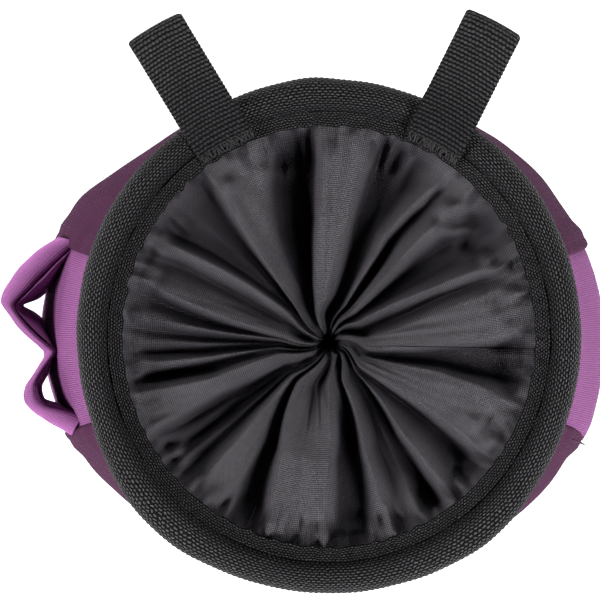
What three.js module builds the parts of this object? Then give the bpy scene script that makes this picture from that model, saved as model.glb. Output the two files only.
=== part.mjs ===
// Climbing chalk bag: a round soft bag standing on its base, with a padded rim, a closure
// gathered shut in the mouth, two belt loops at the back and a brush holder on the left.
// Millimetres, +Z up, +Y towards the back. The origin is the centre of the base's underside.

import * as THREE from 'three';

// Body. Half widths and depths are measured to the outside of the cloth.
const BODY_HEIGHT = 144.7;
const BELLY_HEIGHT = 66;
const BELLY_HALF_WIDTH_RIGHT = 76.5;
const BELLY_HALF_WIDTH_LEFT = 79.3;
const BELLY_HALF_DEPTH = 66;
const BELLY_SQUARENESS_RIGHT = 0.08;
const BELLY_SQUARENESS_LEFT = -0.06;
const BASE_HALF_WIDTH = 56;
const BASE_HALF_DEPTH = 51;
const BASE_THICKNESS = 2;
const HEM_LIFT = 0.6;
const CLOTH_WALL = 1.5;
const PIECE_GAP = 0.3;

// Where the belly stands out from its oval: beside the brush holder and at the front right.
const FULL_SPOTS = [
  { angle: 152, spread: 10, depth: 3.6 },
  { angle: 322, spread: 22, depth: 1.5 },
];

// Side seams, as angles round the bag from +X.
const SIDE_PANEL_SPAN = 41;
const RIGHT_PANEL_MIDDLE = -1.25;
const LEFT_PANEL_MIDDLE = 181;

// Padded rim and the flat selvedge strip inside it.
const RIM_HALF_WIDTH = 63.3;
const RIM_HALF_DEPTH = 64.3;
const RIM_PAD_WIDTH = 9.5;
const RIM_PAD_HEIGHT = 13;
const TAPE_WIDTH = 2.3;
const TAPE_THICKNESS = 1.2;
const TAPE_DROP = 3.2;

// Closure, gathered to a small hole a little in front of the middle.
const CLOSURE_WALL = 1.2;
const CLOSURE_TUCK = 1.6;
const CLOSURE_DIP = 9;
const FOLD_HEIGHT = 2.5;
const HOLE_RADIUS = 2.2;
const HOLE_CENTRE = new THREE.Vector2(0, -1.6);
const FOLD_CENTRE = new THREE.Vector2(-1.7, -2.1);

// Belt loops of folded webbing.
const WEBBING_WIDTH = 15;
const WEBBING_THICKNESS = 1.6;
const BELT_SLOT_HEIGHT = 6.5;
const BELT_LOOP_REACH = 24;
const BELT_LOOP_TAIL = 18;
const BELT_LOOPS = [
  { name: 'belt_loop_left', rimAngle: 118.3, lean: 3 },
  { name: 'belt_loop_right', rimAngle: 61.4, lean: 2 },
];

// Brush holder: a band of doubled cloth round the left side panel, its two layers spread
// below a rounded top edge.
const BAND_FOOT_HEIGHT = 92;
const BAND_WIDTH = 22;
const BAND_THICKNESS = 4.6;
const BAND_SEAT_THICKNESS = 2.4;
const BACK_BRUSH_LOOP_REACH = 13.1;
const FRONT_BRUSH_LOOP_REACH = 9;

// Steps of the faceted surfaces.
const STEPS_PER_TURN = 44;
const BODY_ROWS = 15;
const RIM_SECTION_SIDES = 14;

// One row per ridge, crease or valley of the closure, counterclockwise from +X. Angles are
// degrees about FOLD_CENTRE near the hole, half way and at the rim; heights are shares of
// FOLD_HEIGHT at the same three places.
const FOLD_COLUMNS = ['nearAngle', 'midAngle', 'rimAngle', 'nearRise', 'midRise', 'rimRise'];
const FOLDS = [
  [-9.5, -3.5, -0.3, -0.3, -0.4, -0.2],
  [-4, 0, 3, 0.5, 0.6, 0.5],
  [9, 16, 17, 0.4, 0.6, 0.4],
  [17, 21.3, 21, -0.8, -0.5, 0.1],
  [32, 27, 24.5, 0.5, 0.6, 0.3],
  [36, 32.5, 31.5, -0.3, -0.4, -0.3],
  [39, 41.5, 39, -0.6, -0.9, -0.5],
  [46.5, 47.3, 46, 0.8, 0.8, 0.6],
  [54.5, 54.5, 50.5, -0.6, -0.5, 0.1],
  [59.3, 60, 54, 0.5, 0.6, 0.4],
  [63.5, 64.5, 60, -0.7, -0.2, -0.2],
  [69, 74, 73, -0.6, -0.6, -0.4],
  [84, 78, 77, 0.5, 0.8, 0.7],
  [97, 90.7, 89.5, 0.5, 1, 0.9],
  [101, 95, 93, -0.6, -1, -0.5],
  [108, 104, 100, -0.2, -0.8, 0.1],
  [119, 111.5, 107.5, 0.3, 0.5, 0.4],
  [125, 125, 123.5, 0.5, 0.7, 0.5],
  [128, 128.3, 127.5, -0.8, -0.9, -0.3],
  [130, 133, 135, -0.7, -0.4, 0],
  [132, 138.3, 143.2, -0.8, -0.9, -0.4],
  [137, 142.5, 147.5, 0.6, 0.7, 0.5],
  [150, 150, 152, -0.5, -0.1, 0],
  [166, 164, 160.5, 0.7, 0.7, 0.4],
  [171, 168.5, 164.5, 0, -0.7, -0.3],
  [174, 172.8, 171, 0.2, 0.3, 0.2],
  [177, 176.6, 175, -0.7, -0.6, -0.1],
  [179.5, 179.7, 179, -0.4, 0, 0.1],
  [182, 183, 182.5, -0.5, -0.6, -0.1],
  [184.5, 186.4, 186.5, 0.2, 0.4, 0.4],
  [188, 192, 190.5, -0.4, -0.9, -0.4],
  [193, 197, 195, 0.6, 0.7, 0.5],
  [205, 204, 206.5, 0.4, 0.6, 0.5],
  [212, 209, 210, -0.6, -0.7, -0.2],
  [215, 213, 213, -0.8, -0.4, 0],
  [218, 217, 216, -0.9, -0.8, -0.2],
  [220.5, 221, 219.5, -0.2, 0, 0.1],
  [223, 224.8, 223.8, -0.6, -0.3, -0.1],
  [226, 228.5, 228, 0.5, 0.7, 0.5],
  [230, 238, 238, 0.3, 0.3, 0.3],
  [234, 245, 248, -0.7, -0.9, -0.7],
  [238, 249.5, 253.2, 0.7, 0.9, 0.8],
  [257, 262, 262, -0.1, 0.9, 0.5],
  [278, 274, 269.5, 0.6, 0.8, 0.7],
  [291, 279, 275, 0, -0.5, 0],
  [296, 286, 284, -0.7, -0.9, -0.2],
  [300, 292, 289.5, 0.5, 0.6, 0.5],
  [312, 298.3, 295, -0.6, -0.4, 0.2],
  [315, 303.5, 300, -0.5, -0.2, 0.3],
  [318, 308.3, 306, -0.7, -0.7, -0.5],
  [320.5, 311.8, 310.5, 0.3, 0.7, 0.5],
  [322.5, 317, 317, 0.2, 0.5, 0.4],
  [325, 323.8, 322.3, -0.7, -0.7, -0.3],
  [329.5, 329.5, 326.5, 0.6, 0.8, 0.6],
  [344, 347.5, 343.5, 0.2, 0.8, 0.7],
  [347, 352, 349, -0.1, -0.9, -0.4],
].map((row) => Object.fromEntries(FOLD_COLUMNS.map((column, i) => [column, row[i]])));

// Shares of the way from the hole to the rim at which the FOLDS columns stand.
const FOLD_STATIONS = { near: 0.19, mid: 0.54, rim: 0.88 };

// Rings of the closure from the rim to the hole, as shares of the way out, with the share of
// the fold height that each ring keeps.
const CLOSURE_RINGS = [
  { out: 1, fold: 0 },
  { out: 0.965, fold: 0 },
  { out: 0.93, fold: 0.5 },
  { out: 0.87, fold: 0.8 },
  { out: 0.77, fold: 0.95 },
  { out: 0.66, fold: 1 },
  { out: 0.54, fold: 1 },
  { out: 0.42, fold: 0.95 },
  { out: 0.31, fold: 0.85 },
  { out: 0.21, fold: 0.65 },
  { out: 0.12, fold: 0.4 },
  { out: 0.05, fold: 0.2 },
  { out: 0, fold: 0 },
];

// The band's way round the side panel, back seam to front seam: the share of the panel's
// span and the share of that loop's reach.
const BACK_BRUSH_LOOP = [
  { along: 0, reach: 0 },
  { along: 0.03, reach: 0.22 },
  { along: 0.063, reach: 0.42 },
  { along: 0.11, reach: 0.56 },
  { along: 0.156, reach: 0.68 },
  { along: 0.21, reach: 0.81 },
  { along: 0.266, reach: 0.93 },
  { along: 0.295, reach: 0.98 },
  { along: 0.324, reach: 1 },
  { along: 0.35, reach: 0.97 },
  { along: 0.375, reach: 0.9 },
  { along: 0.424, reach: 0.7 },
  { along: 0.46, reach: 0.53 },
  { along: 0.5, reach: 0.32 },
  { along: 0.53, reach: 0.16 },
  { along: 0.56, reach: 0.05 },
];
const FRONT_BRUSH_LOOP = [
  { along: 0.585, reach: 0.05 },
  { along: 0.62, reach: 0.25 },
  { along: 0.654, reach: 0.48 },
  { along: 0.685, reach: 0.7 },
  { along: 0.712, reach: 0.87 },
  { along: 0.745, reach: 0.96 },
  { along: 0.771, reach: 1 },
  { along: 0.8, reach: 0.95 },
  { along: 0.829, reach: 0.86 },
  { along: 0.868, reach: 0.67 },
  { along: 0.907, reach: 0.46 },
  { along: 0.955, reach: 0.2 },
  { along: 1, reach: 0 },
];

const RIM_TOP = BODY_HEIGHT + PIECE_GAP + RIM_PAD_HEIGHT;
const RIM_CENTRE_HEIGHT = RIM_TOP - RIM_PAD_HEIGHT / 2;
const TAPE_TOP = RIM_TOP - TAPE_DROP;

const UP = new THREE.Vector3(0, 0, 1);
const radians = THREE.MathUtils.degToRad;
const mix = THREE.MathUtils.lerp;

function material(color, roughness) {
  return new THREE.MeshStandardMaterial({ color, roughness, metalness: 0 });
}

const PLUM_CLOTH = material(0x62425b, 0.8);
const ORCHID_CLOTH = material(0xa1719e, 0.75);
const BLACK_BINDING = material(0x2c2a2d, 0.9);
const BLACK_WEBBING = material(0x2f2d30, 0.85);
const GREY_NYLON = material(0x4a494d, 0.5);

// A closed body lofted through loops of points. Every loop lists one skin and then the other
// skin backwards, so its ends are capped by a ladder of quads. A ring joins last to first.
function loft(name, loops, isRing, cloth) {
  const size = loops[0].length;
  const positions = loops.flat().flatMap((point) => point.toArray());
  const triangles = [];
  const quad = (a, b, c, d) => triangles.push(a, b, c, a, c, d);
  const spans = isRing ? loops.length : loops.length - 1;
  for (let i = 0; i < spans; i++) {
    const here = i * size;
    const next = ((i + 1) % loops.length) * size;
    for (let k = 0; k < size; k++) {
      const up = (k + 1) % size;
      quad(here + k, next + k, next + up, here + up);
    }
  }
  if (!isRing) {
    const last = (loops.length - 1) * size;
    for (let k = 0; k < size / 2 - 1; k++) {
      quad(k, k + 1, size - 2 - k, size - 1 - k);
      quad(last + size - 1 - k, last + size - 2 - k, last + k + 1, last + k);
    }
  }
  const geometry = new THREE.BufferGeometry();
  geometry.setAttribute('position', new THREE.Float32BufferAttribute(positions, 3));
  geometry.setIndex(triangles);
  geometry.computeVertexNormals();
  const mesh = new THREE.Mesh(geometry, cloth);
  mesh.name = name;
  return mesh;
}

function polar(angle, radius, height) {
  return new THREE.Vector3(radius * Math.cos(angle), radius * Math.sin(angle), height);
}

// Radius at an angle of an oval that turns squarer as its exponent passes 2.
function ovalRadius(angle, halfWidth, halfDepth, exponent = 2) {
  const across = Math.abs(Math.cos(angle) / halfWidth) ** exponent;
  const deep = Math.abs(Math.sin(angle) / halfDepth) ** exponent;
  return (across + deep) ** (-1 / exponent);
}

function rimRadius(angle) {
  return ovalRadius(angle, RIM_HALF_WIDTH, RIM_HALF_DEPTH);
}

function padCentreRadius(angle) {
  return rimRadius(angle) - RIM_PAD_WIDTH / 2;
}

function mouthRadius(angle) {
  return rimRadius(angle) - RIM_PAD_WIDTH - TAPE_WIDTH;
}

// How far the body has swelled at a height: 0 at the base and at the rim, 1 at the belly.
function swell(height) {
  if (height < BELLY_HEIGHT) {
    const below = 1 - Math.max(height, 0) / BELLY_HEIGHT;
    return (1 - below ** 2.2) ** 0.714;
  }
  const above = Math.min((height - BELLY_HEIGHT) / (BODY_HEIGHT - BELLY_HEIGHT), 1);
  return Math.cos((above * Math.PI) / 2);
}

// How far the belly stands out from its oval at an angle.
function fullness(angle) {
  const degrees = THREE.MathUtils.radToDeg(angle);
  return FULL_SPOTS.reduce((sum, spot) => {
    const away = THREE.MathUtils.euclideanModulo(degrees - spot.angle + 180, 360) - 180;
    return sum + spot.depth * Math.exp(-((away / spot.spread) ** 2));
  }, 0);
}

function bodyRadius(angle, height) {
  const share = swell(height);
  const isLeft = Math.cos(angle) < 0;
  const bellyHalfWidth = isLeft ? BELLY_HALF_WIDTH_LEFT : BELLY_HALF_WIDTH_RIGHT;
  const squareness = isLeft ? BELLY_SQUARENESS_LEFT : BELLY_SQUARENESS_RIGHT;
  const fromRim = height > BELLY_HEIGHT;
  const seatWidth = fromRim ? RIM_HALF_WIDTH - (RIM_PAD_WIDTH - CLOTH_WALL) / 2 : BASE_HALF_WIDTH;
  const seatDepth = fromRim ? RIM_HALF_DEPTH - (RIM_PAD_WIDTH - CLOTH_WALL) / 2 : BASE_HALF_DEPTH;
  const oval = ovalRadius(
    angle,
    mix(seatWidth, bellyHalfWidth, share),
    mix(seatDepth, BELLY_HALF_DEPTH, share),
    2 + squareness * share,
  );
  return oval + fullness(angle) * share;
}

// The inside of the wall, set in square to the body's slope.
function insidePoint(angle, height) {
  const step = 0.5;
  const low = Math.max(height - step, HEM_LIFT);
  const high = Math.min(height + step, BODY_HEIGHT);
  const run = bodyRadius(angle, high) - bodyRadius(angle, low);
  const slope = Math.atan2(run, high - low);
  const radius = bodyRadius(angle, height) - CLOTH_WALL * Math.cos(slope);
  const inner = height + CLOTH_WALL * Math.sin(slope);
  return polar(angle, radius, Math.min(inner, BODY_HEIGHT));
}

// Heights of the body's rows, closer together where the wall curls in to the base.
function bodyHeights() {
  const heights = [];
  for (let row = 0; row < BODY_ROWS; row++) {
    const share = row / (BODY_ROWS - 1);
    heights.push(mix(HEM_LIFT, BODY_HEIGHT, share ** 1.5));
  }
  return heights;
}

// A wall panel between two seam angles, in degrees.
function bodyPanel(name, fromSeam, toSeam, cloth) {
  const steps = Math.max(4, Math.round(((toSeam - fromSeam) / 360) * STEPS_PER_TURN));
  const heights = bodyHeights();
  const loops = [];
  for (let i = 0; i <= steps; i++) {
    const seamTrim = (height, angle) => {
      const half = PIECE_GAP / 2 / bodyRadius(angle, height);
      return i === 0 ? half : i === steps ? -half : 0;
    };
    const angle = radians(mix(fromSeam, toSeam, i / steps));
    const outside = heights.map((height) => {
      const trimmed = angle + seamTrim(height, angle);
      return polar(trimmed, bodyRadius(trimmed, height), height);
    });
    const inside = heights.map((height) => insidePoint(angle + seamTrim(height, angle), height));
    loops.push([...outside, ...inside.reverse()]);
  }
  return loft(name, loops, false, cloth);
}

function basePanel() {
  const outline = new THREE.Shape();
  const edgeTrim = CLOTH_WALL + PIECE_GAP;
  const corners = [];
  for (let i = 0; i < STEPS_PER_TURN; i++) {
    const angle = (i / STEPS_PER_TURN) * 2 * Math.PI;
    const edge = polar(angle, bodyRadius(angle, HEM_LIFT) - edgeTrim, 0);
    corners.push(new THREE.Vector2(edge.x, edge.y));
  }
  outline.setFromPoints(corners);
  const geometry = new THREE.ExtrudeGeometry(outline, { depth: BASE_THICKNESS, bevelEnabled: false });
  const mesh = new THREE.Mesh(geometry, PLUM_CLOTH);
  mesh.name = 'base_panel';
  return mesh;
}

function rimRing() {
  const loops = [];
  for (let i = 0; i < STEPS_PER_TURN; i++) {
    const angle = (i / STEPS_PER_TURN) * 2 * Math.PI;
    const loop = [];
    for (let k = 0; k < RIM_SECTION_SIDES; k++) {
      const turn = ((k + 0.5) / RIM_SECTION_SIDES) * 2 * Math.PI - Math.PI / 2;
      const radius = padCentreRadius(angle) + (RIM_PAD_WIDTH / 2) * Math.cos(turn);
      loop.push(polar(angle, radius, RIM_CENTRE_HEIGHT + (RIM_PAD_HEIGHT / 2) * Math.sin(turn)));
    }
    loops.push(loop);
  }
  return loft('rim_ring', loops, true, BLACK_BINDING);
}

// Half the pad's width at a height above or below its middle.
function padHalfWidthAt(height) {
  const share = Math.min(Math.abs(height - RIM_CENTRE_HEIGHT) / (RIM_PAD_HEIGHT / 2), 1);
  return (RIM_PAD_WIDTH / 2) * Math.sqrt(1 - share * share);
}

function rimSeamTape() {
  const loops = [];
  const widest = padHalfWidthAt(TAPE_TOP - TAPE_THICKNESS);
  for (let i = 0; i < STEPS_PER_TURN; i++) {
    const angle = (i / STEPS_PER_TURN) * 2 * Math.PI;
    const outer = padCentreRadius(angle) - widest - PIECE_GAP;
    const inner = mouthRadius(angle);
    const bottom = TAPE_TOP - TAPE_THICKNESS;
    loops.push([
      polar(angle, outer, bottom),
      polar(angle, outer, TAPE_TOP),
      polar(angle, inner, TAPE_TOP),
      polar(angle, inner, bottom),
    ]);
  }
  return loft('rim_seam_tape', loops, true, BLACK_BINDING);
}

// A fold's value between its three charted places, held level beyond them.
function alongFold(fold, out, measure) {
  const { near, mid, rim } = FOLD_STATIONS;
  if (out < mid) {
    const share = THREE.MathUtils.clamp((out - near) / (mid - near), 0, 1);
    return mix(fold[`near${measure}`], fold[`mid${measure}`], share);
  }
  const share = THREE.MathUtils.clamp((out - mid) / (rim - mid), 0, 1);
  return mix(fold[`mid${measure}`], fold[`rim${measure}`], share);
}

// Distance from FOLD_CENTRE along an angle to the closure's edge under the tape.
function closureReach(angle) {
  const edge = mouthRadius(angle) + CLOSURE_TUCK;
  const along = FOLD_CENTRE.x * Math.cos(angle) + FOLD_CENTRE.y * Math.sin(angle);
  const across = FOLD_CENTRE.lengthSq() - along * along;
  return Math.sqrt(edge * edge - across) - along;
}

function closurePoint(foldIndex, ring) {
  const fold = FOLDS[foldIndex];
  const evenAngle = (foldIndex / FOLDS.length) * 360 - 8;
  const gathered = THREE.MathUtils.smoothstep(FOLD_STATIONS.near - ring.out, 0, FOLD_STATIONS.near);
  const angle = radians(mix(alongFold(fold, ring.out, 'Angle'), evenAngle, gathered));
  const centre = FOLD_CENTRE.clone().lerp(HOLE_CENTRE, gathered);
  const radius = mix(HOLE_RADIUS, closureReach(angle), ring.out);
  const edgeHeight = TAPE_TOP - TAPE_THICKNESS - PIECE_GAP;
  const rise = FOLD_HEIGHT * ring.fold * alongFold(fold, ring.out, 'Rise');
  const height = edgeHeight - CLOSURE_DIP * (1 - ring.out) ** 1.2 + rise;
  return new THREE.Vector3(
    centre.x + radius * Math.cos(angle),
    centre.y + radius * Math.sin(angle),
    height,
  );
}

function closure() {
  const down = new THREE.Vector3(0, 0, -CLOSURE_WALL);
  const loops = FOLDS.map((fold, foldIndex) => {
    const top = CLOSURE_RINGS.map((ring) => closurePoint(foldIndex, ring));
    const underside = top.map((point) => point.clone().add(down));
    return [...top, ...underside.reverse()];
  });
  return loft('closure', loops, true, GREY_NYLON);
}

// The webbing's middle line in a plane through the rim: x is the distance from the bag's
// axis and y the height. It runs from the tape over the rim, out, round the fold and back
// to the body's wall.
function beltLoopLine(angle) {
  const half = WEBBING_THICKNESS / 2;
  const clear = PIECE_GAP + half;
  const pad = padCentreRadius(angle);
  const rim = rimRadius(angle);
  const line = [new THREE.Vector2(mouthRadius(angle) + 0.2, TAPE_TOP + clear)];
  const climbSteps = 6;
  const tapeRise = TAPE_TOP + clear - RIM_CENTRE_HEIGHT;
  const start = Math.asin(Math.min(tapeRise / (RIM_PAD_HEIGHT / 2 + clear), 1));
  for (let i = 0; i <= climbSteps; i++) {
    const turn = mix(Math.PI - start, Math.PI / 2, i / climbSteps);
    line.push(new THREE.Vector2(
      pad + (RIM_PAD_WIDTH / 2 + clear) * Math.cos(turn),
      RIM_CENTRE_HEIGHT + (RIM_PAD_HEIGHT / 2 + clear) * Math.sin(turn),
    ));
  }
  const top = RIM_TOP + clear;
  const foldRadius = (BELT_SLOT_HEIGHT + WEBBING_THICKNESS) / 2;
  const foldCentre = rim + BELT_LOOP_REACH - foldRadius - half;
  line.push(new THREE.Vector2(mix(pad, foldCentre, 0.5), top));
  const foldSteps = 8;
  for (let i = 0; i <= foldSteps; i++) {
    const turn = mix(Math.PI / 2, -Math.PI / 2, i / foldSteps);
    line.push(new THREE.Vector2(
      foldCentre + foldRadius * Math.cos(turn),
      top - foldRadius + foldRadius * Math.sin(turn),
    ));
  }
  const under = top - 2 * foldRadius;
  const bend = 2.5;
  const wall = rim + clear;
  line.push(new THREE.Vector2(mix(foldCentre, wall + bend, 0.5), under));
  const bendSteps = 3;
  for (let i = 0; i <= bendSteps; i++) {
    const turn = mix(Math.PI / 2, Math.PI, i / bendSteps);
    line.push(new THREE.Vector2(
      wall + bend + bend * Math.cos(turn),
      under - bend + bend * Math.sin(turn),
    ));
  }
  const foot = under - bend - BELT_LOOP_TAIL;
  const footRadius = Math.max(bodyRadius(angle, foot) + clear, wall - (wall - pad) / 2);
  line.push(new THREE.Vector2(mix(wall, footRadius, 0.5), mix(under - bend, foot, 0.5)));
  line.push(new THREE.Vector2(footRadius, foot));
  return line;
}

function beltLoop({ name, rimAngle, lean }) {
  const angle = radians(rimAngle);
  const line = beltLoopLine(angle);
  const rim = rimRadius(angle);
  const columns = [-0.5, -0.2, 0.2, 0.5].map((share) => share * WEBBING_WIDTH);
  const place = (point, across) => {
    const sideways = across + (point.x - line[0].x) * Math.tan(radians(lean));
    const setBack = rim - Math.sqrt(rim * rim - sideways * sideways);
    const local = new THREE.Vector3(point.x - setBack, sideways, point.y);
    return local.applyAxisAngle(UP, angle);
  };
  const loops = line.map((point, i) => {
    const before = line[Math.max(i - 1, 0)];
    const after = line[Math.min(i + 1, line.length - 1)];
    const normal = after.clone().sub(before).normalize().rotateAround(new THREE.Vector2(), Math.PI / 2);
    const outside = point.clone().addScaledVector(normal, WEBBING_THICKNESS / 2);
    const inside = point.clone().addScaledVector(normal, -WEBBING_THICKNESS / 2);
    return [
      ...columns.map((across) => place(outside, across)),
      ...columns.toReversed().map((across) => place(inside, across)),
    ];
  });
  return loft(name, loops, false, BLACK_WEBBING);
}

// The band's section, as shares of its half thickness and of its width above its foot.
const BAND_SECTION = [
  { offset: 0.9, up: 0 },
  { offset: 1, up: 0.4 },
  { offset: 0.95, up: 0.75 },
  { offset: 0.75, up: 0.93 },
  { offset: 0.25, up: 1 },
];

function brushHolder() {
  const bandTop = BAND_FOOT_HEIGHT + BAND_WIDTH;
  const stops = [
    ...BACK_BRUSH_LOOP.map((stop) => ({ ...stop, size: BACK_BRUSH_LOOP_REACH })),
    ...FRONT_BRUSH_LOOP.map((stop) => ({ ...stop, size: FRONT_BRUSH_LOOP_REACH })),
  ];
  const middleAt = ({ along, reach, size }, height) => {
    const angle = radians(LEFT_PANEL_MIDDLE + (along - 0.5) * SIDE_PANEL_SPAN);
    const upright = THREE.MathUtils.smoothstep(reach, 0.2, 1);
    const wall = mix(bodyRadius(angle, height), bodyRadius(angle, bandTop), upright);
    return polar(angle, wall + PIECE_GAP + BAND_SEAT_THICKNESS / 2 + reach * size, height);
  };
  const loops = stops.map((stop, i) => {
    const before = stops[Math.max(i - 1, 0)];
    const after = stops[Math.min(i + 1, stops.length - 1)];
    const spread = THREE.MathUtils.smoothstep(stop.reach, 0, 0.3);
    const half = mix(BAND_SEAT_THICKNESS, BAND_THICKNESS, spread) / 2;
    const skin = (side) => BAND_SECTION.map(({ offset, up }) => {
      const height = BAND_FOOT_HEIGHT + up * BAND_WIDTH;
      const along = middleAt(after, height).sub(middleAt(before, height)).normalize();
      const outward = new THREE.Vector3(along.y, -along.x, 0);
      return middleAt(stop, height).addScaledVector(outward, side * offset * half);
    });
    return [...skin(1), ...skin(-1).reverse()];
  });
  return loft('brush_holder', loops, false, ORCHID_CLOTH);
}

const halfSpan = SIDE_PANEL_SPAN / 2;
const rightFront = RIGHT_PANEL_MIDDLE - halfSpan;
const rightBack = RIGHT_PANEL_MIDDLE + halfSpan;
const leftBack = LEFT_PANEL_MIDDLE - halfSpan;
const leftFront = LEFT_PANEL_MIDDLE + halfSpan;

const chalkBag = new THREE.Group();
chalkBag.name = 'climbing_chalk_bag';
chalkBag.add(
  basePanel(),
  bodyPanel('right_side_panel', rightFront, rightBack, ORCHID_CLOTH),
  bodyPanel('back_panel', rightBack, leftBack, PLUM_CLOTH),
  bodyPanel('left_side_panel', leftBack, leftFront, ORCHID_CLOTH),
  bodyPanel('front_panel', leftFront, rightFront + 360, PLUM_CLOTH),
  rimRing(),
  rimSeamTape(),
  closure(),
  ...BELT_LOOPS.map(beltLoop),
  brushHolder(),
);

export default chalkBag;
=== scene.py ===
import math

import bmesh
import bpy
import numpy as np
from bpy.props import FloatProperty, FloatVectorProperty, IntProperty, PointerProperty
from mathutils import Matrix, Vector


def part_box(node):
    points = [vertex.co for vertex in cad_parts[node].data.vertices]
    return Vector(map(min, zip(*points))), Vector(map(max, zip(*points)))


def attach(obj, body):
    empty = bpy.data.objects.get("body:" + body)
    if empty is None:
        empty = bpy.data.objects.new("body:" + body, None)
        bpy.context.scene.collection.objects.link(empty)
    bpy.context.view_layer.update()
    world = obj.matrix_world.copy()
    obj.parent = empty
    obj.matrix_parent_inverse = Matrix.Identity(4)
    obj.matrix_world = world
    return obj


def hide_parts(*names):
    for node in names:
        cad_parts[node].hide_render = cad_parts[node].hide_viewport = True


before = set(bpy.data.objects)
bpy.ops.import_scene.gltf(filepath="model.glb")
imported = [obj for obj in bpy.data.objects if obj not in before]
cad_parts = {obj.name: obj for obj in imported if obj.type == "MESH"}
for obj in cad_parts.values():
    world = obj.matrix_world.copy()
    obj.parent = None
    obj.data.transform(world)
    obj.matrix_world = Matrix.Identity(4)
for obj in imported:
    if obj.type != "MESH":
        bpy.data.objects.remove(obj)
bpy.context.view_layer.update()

bl_info = {
    "name": "Climbing chalk bag",
    "version": (1, 0, 0),
    "blender": (4, 5, 0),
    "location": "3D View > Sidebar > Chalk Bag",
    "description": "Builds a soft climbing chalk bag, its closure, loops and studio",
    "category": "Add Mesh",
}

MM = 0.001
RIM_LOW, RIM_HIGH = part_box("rim_ring")
BASE_LOW, BASE_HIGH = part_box("base_panel")
TAPE_LOW, TAPE_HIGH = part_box("rim_seam_tape")
BAND_FOOT = float(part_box("brush_holder")[0][2])
RIM_TOP, TAPE_TOP = float(RIM_HIGH[2]), float(TAPE_HIGH[2])

# Radii at which lengths round the body, the rim's pad and the mouth are measured.
BODY_ARC, PAD_ARC, MOUTH_ARC = 70 * MM, 60 * MM, 53 * MM
# Where the walls start, and the least height of their outer side.
WALL_FOOT, FLOOR_GAP = 0.6 * MM, 0.2 * MM
# How the walls bend below the belly, and how square the belly is on its left and right.
BARREL_BEND, BARREL_ROUNDING = 2.2, 0.714
SQUARE_LEFT, SQUARE_RIGHT = -0.06, 0.08
# A stitch: its girth at each ring, its bow and how deep it sinks, as shares of its radius.
STITCH_GIRTH = np.array((0.35, 0.9, 1.0, 0.9, 0.35))
STITCH_BOW, STITCH_SINK, STITCH_SIDES = 0.7, 0.3, 6
# Sewing: pitch, share of the pitch on top, and half thickness of the thread.
SEAM_SEWING = (3.1 * MM, 0.72, 0.18 * MM)
BASE_SEWING = (3.1 * MM, 0.70, 0.24 * MM)
TACK_THREAD = 0.17 * MM
SEAM_INSET = 1.9 * MM
BODY_WEAVE, TAPE_RUNG = 0.56 * MM, 0.62 * MM
# Slack beside the soft unevenness: shares of the fine one, the puckers and the sag, how far the
# puckers and the sag reach, and how high the sag is.
FINE_SLACK, RIM_PUCKERS, BASE_SAG = 0.35, 0.8, 1.1
PUCKER_REACH, SAG_HEIGHT = 9 * MM, 14 * MM
# A lapped seam: its lift and where that ends, its curl, and its sewn groove and the groove's
# place and width. Then how far a side panel is pulled in beside it, and over what width.
LAP_LIFT, LIFT_FROM, LIFT_TO = 1.0 * MM, 4 * MM, 9 * MM
LAP_CURL, CURL_WIDTH = 1.1 * MM, 0.9 * MM
GROOVE_DEPTH, GROOVE_PLACE, GROOVE_WIDTH = 0.3 * MM, 3.2 * MM, 0.6 * MM
SIDE_PULL, PULL_WIDTH = 0.35 * MM, 4 * MM
# Puckers at a seam, on the panel and under its stitches, and how far they reach from its edge.
SEAM_PUCKER, STITCH_PUCKER, SEAM_REACH = 0.3 * MM, 0.19 * MM, 7 * MM
STITCH_PROUD = 0.66 * MM
# The rim's pad: the height of its lumps, dents and ribs, how far it sinks for them, and the top
# that the webbing lies on.
PAD_LUMPS, PAD_DENTS, PAD_RIBS, PAD_SINK = 0.22 * MM, 0.13 * MM, 0.09 * MM, 0.1 * MM
PAD_TOP = RIM_TOP + 0.16 * MM
# The seam tape: its fringe, crown, stitching and rise under the pad, and its sunken edge.
TAPE_FRINGE, TAPE_CROWN, TAPE_STITCHING = 0.45 * MM, 0.5 * MM, 0.32 * MM
TAPE_RISE, RISE_WIDTH, TAPE_SINK = 1.45 * MM, 0.55, 0.35 * MM
# The nylon: its thickness, its reach under the tape and its gap below the tape.
NYLON_THICKNESS, UNDER_TAPE, NYLON_GAP = 0.55 * MM, 1.6 * MM, 0.3 * MM
# The webbing: its gap over what it lies on, its bend at the wall, the height of its ribs and
# dots, how far it sinks for them, its rounded edges and its waviness.
WEBBING_GAP, WEBBING_BEND = 0.3 * MM, 2.5 * MM
RIB_HEIGHT, DOT_HEIGHT, WEBBING_SINK = 0.16 * MM, 0.11 * MM, 0.1 * MM
EDGE_ROUNDING, EDGE_WIDTH, WEBBING_WAVE = 0.45 * MM, 0.9 * MM, 0.22 * MM
# Unevenness whose seed changes from patch to patch or from loop to loop: spread across and
# along, and how many waves run over one another.
CRUMPLE_WAVES, WEBBING_WAVES = (4.6 * MM, 5.5 * MM, 12), (22 * MM, 1, 8)
# Painted shade: what is left of a dye in the gaps between threads, and of its red, green and blue
# where the painted shade of a hollow is deepest.
PAINTED_GAP_SHADE, DEEPEST_PAINTED_SHADE = (0.03,), (0.13, 0.1, 0.15)
# How much of that painted shade, from 0 to 1, the band's groove, lining and inner side, and the rim's
# inner side with the webbing near it, take.
GROOVE_SHADE, LINING_SHADE, INNER_SHADE, RIM_SHADE = 0.95, 0.55, 0.25, 0.6
# The base: its gap inside the walls, its rounded edge and the height of its stitches.
BASE_GAP, BASE_ROUNDING, BASE_STITCHES = 0.3 * MM, 0.5 * MM, 5.5 * MM
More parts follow.
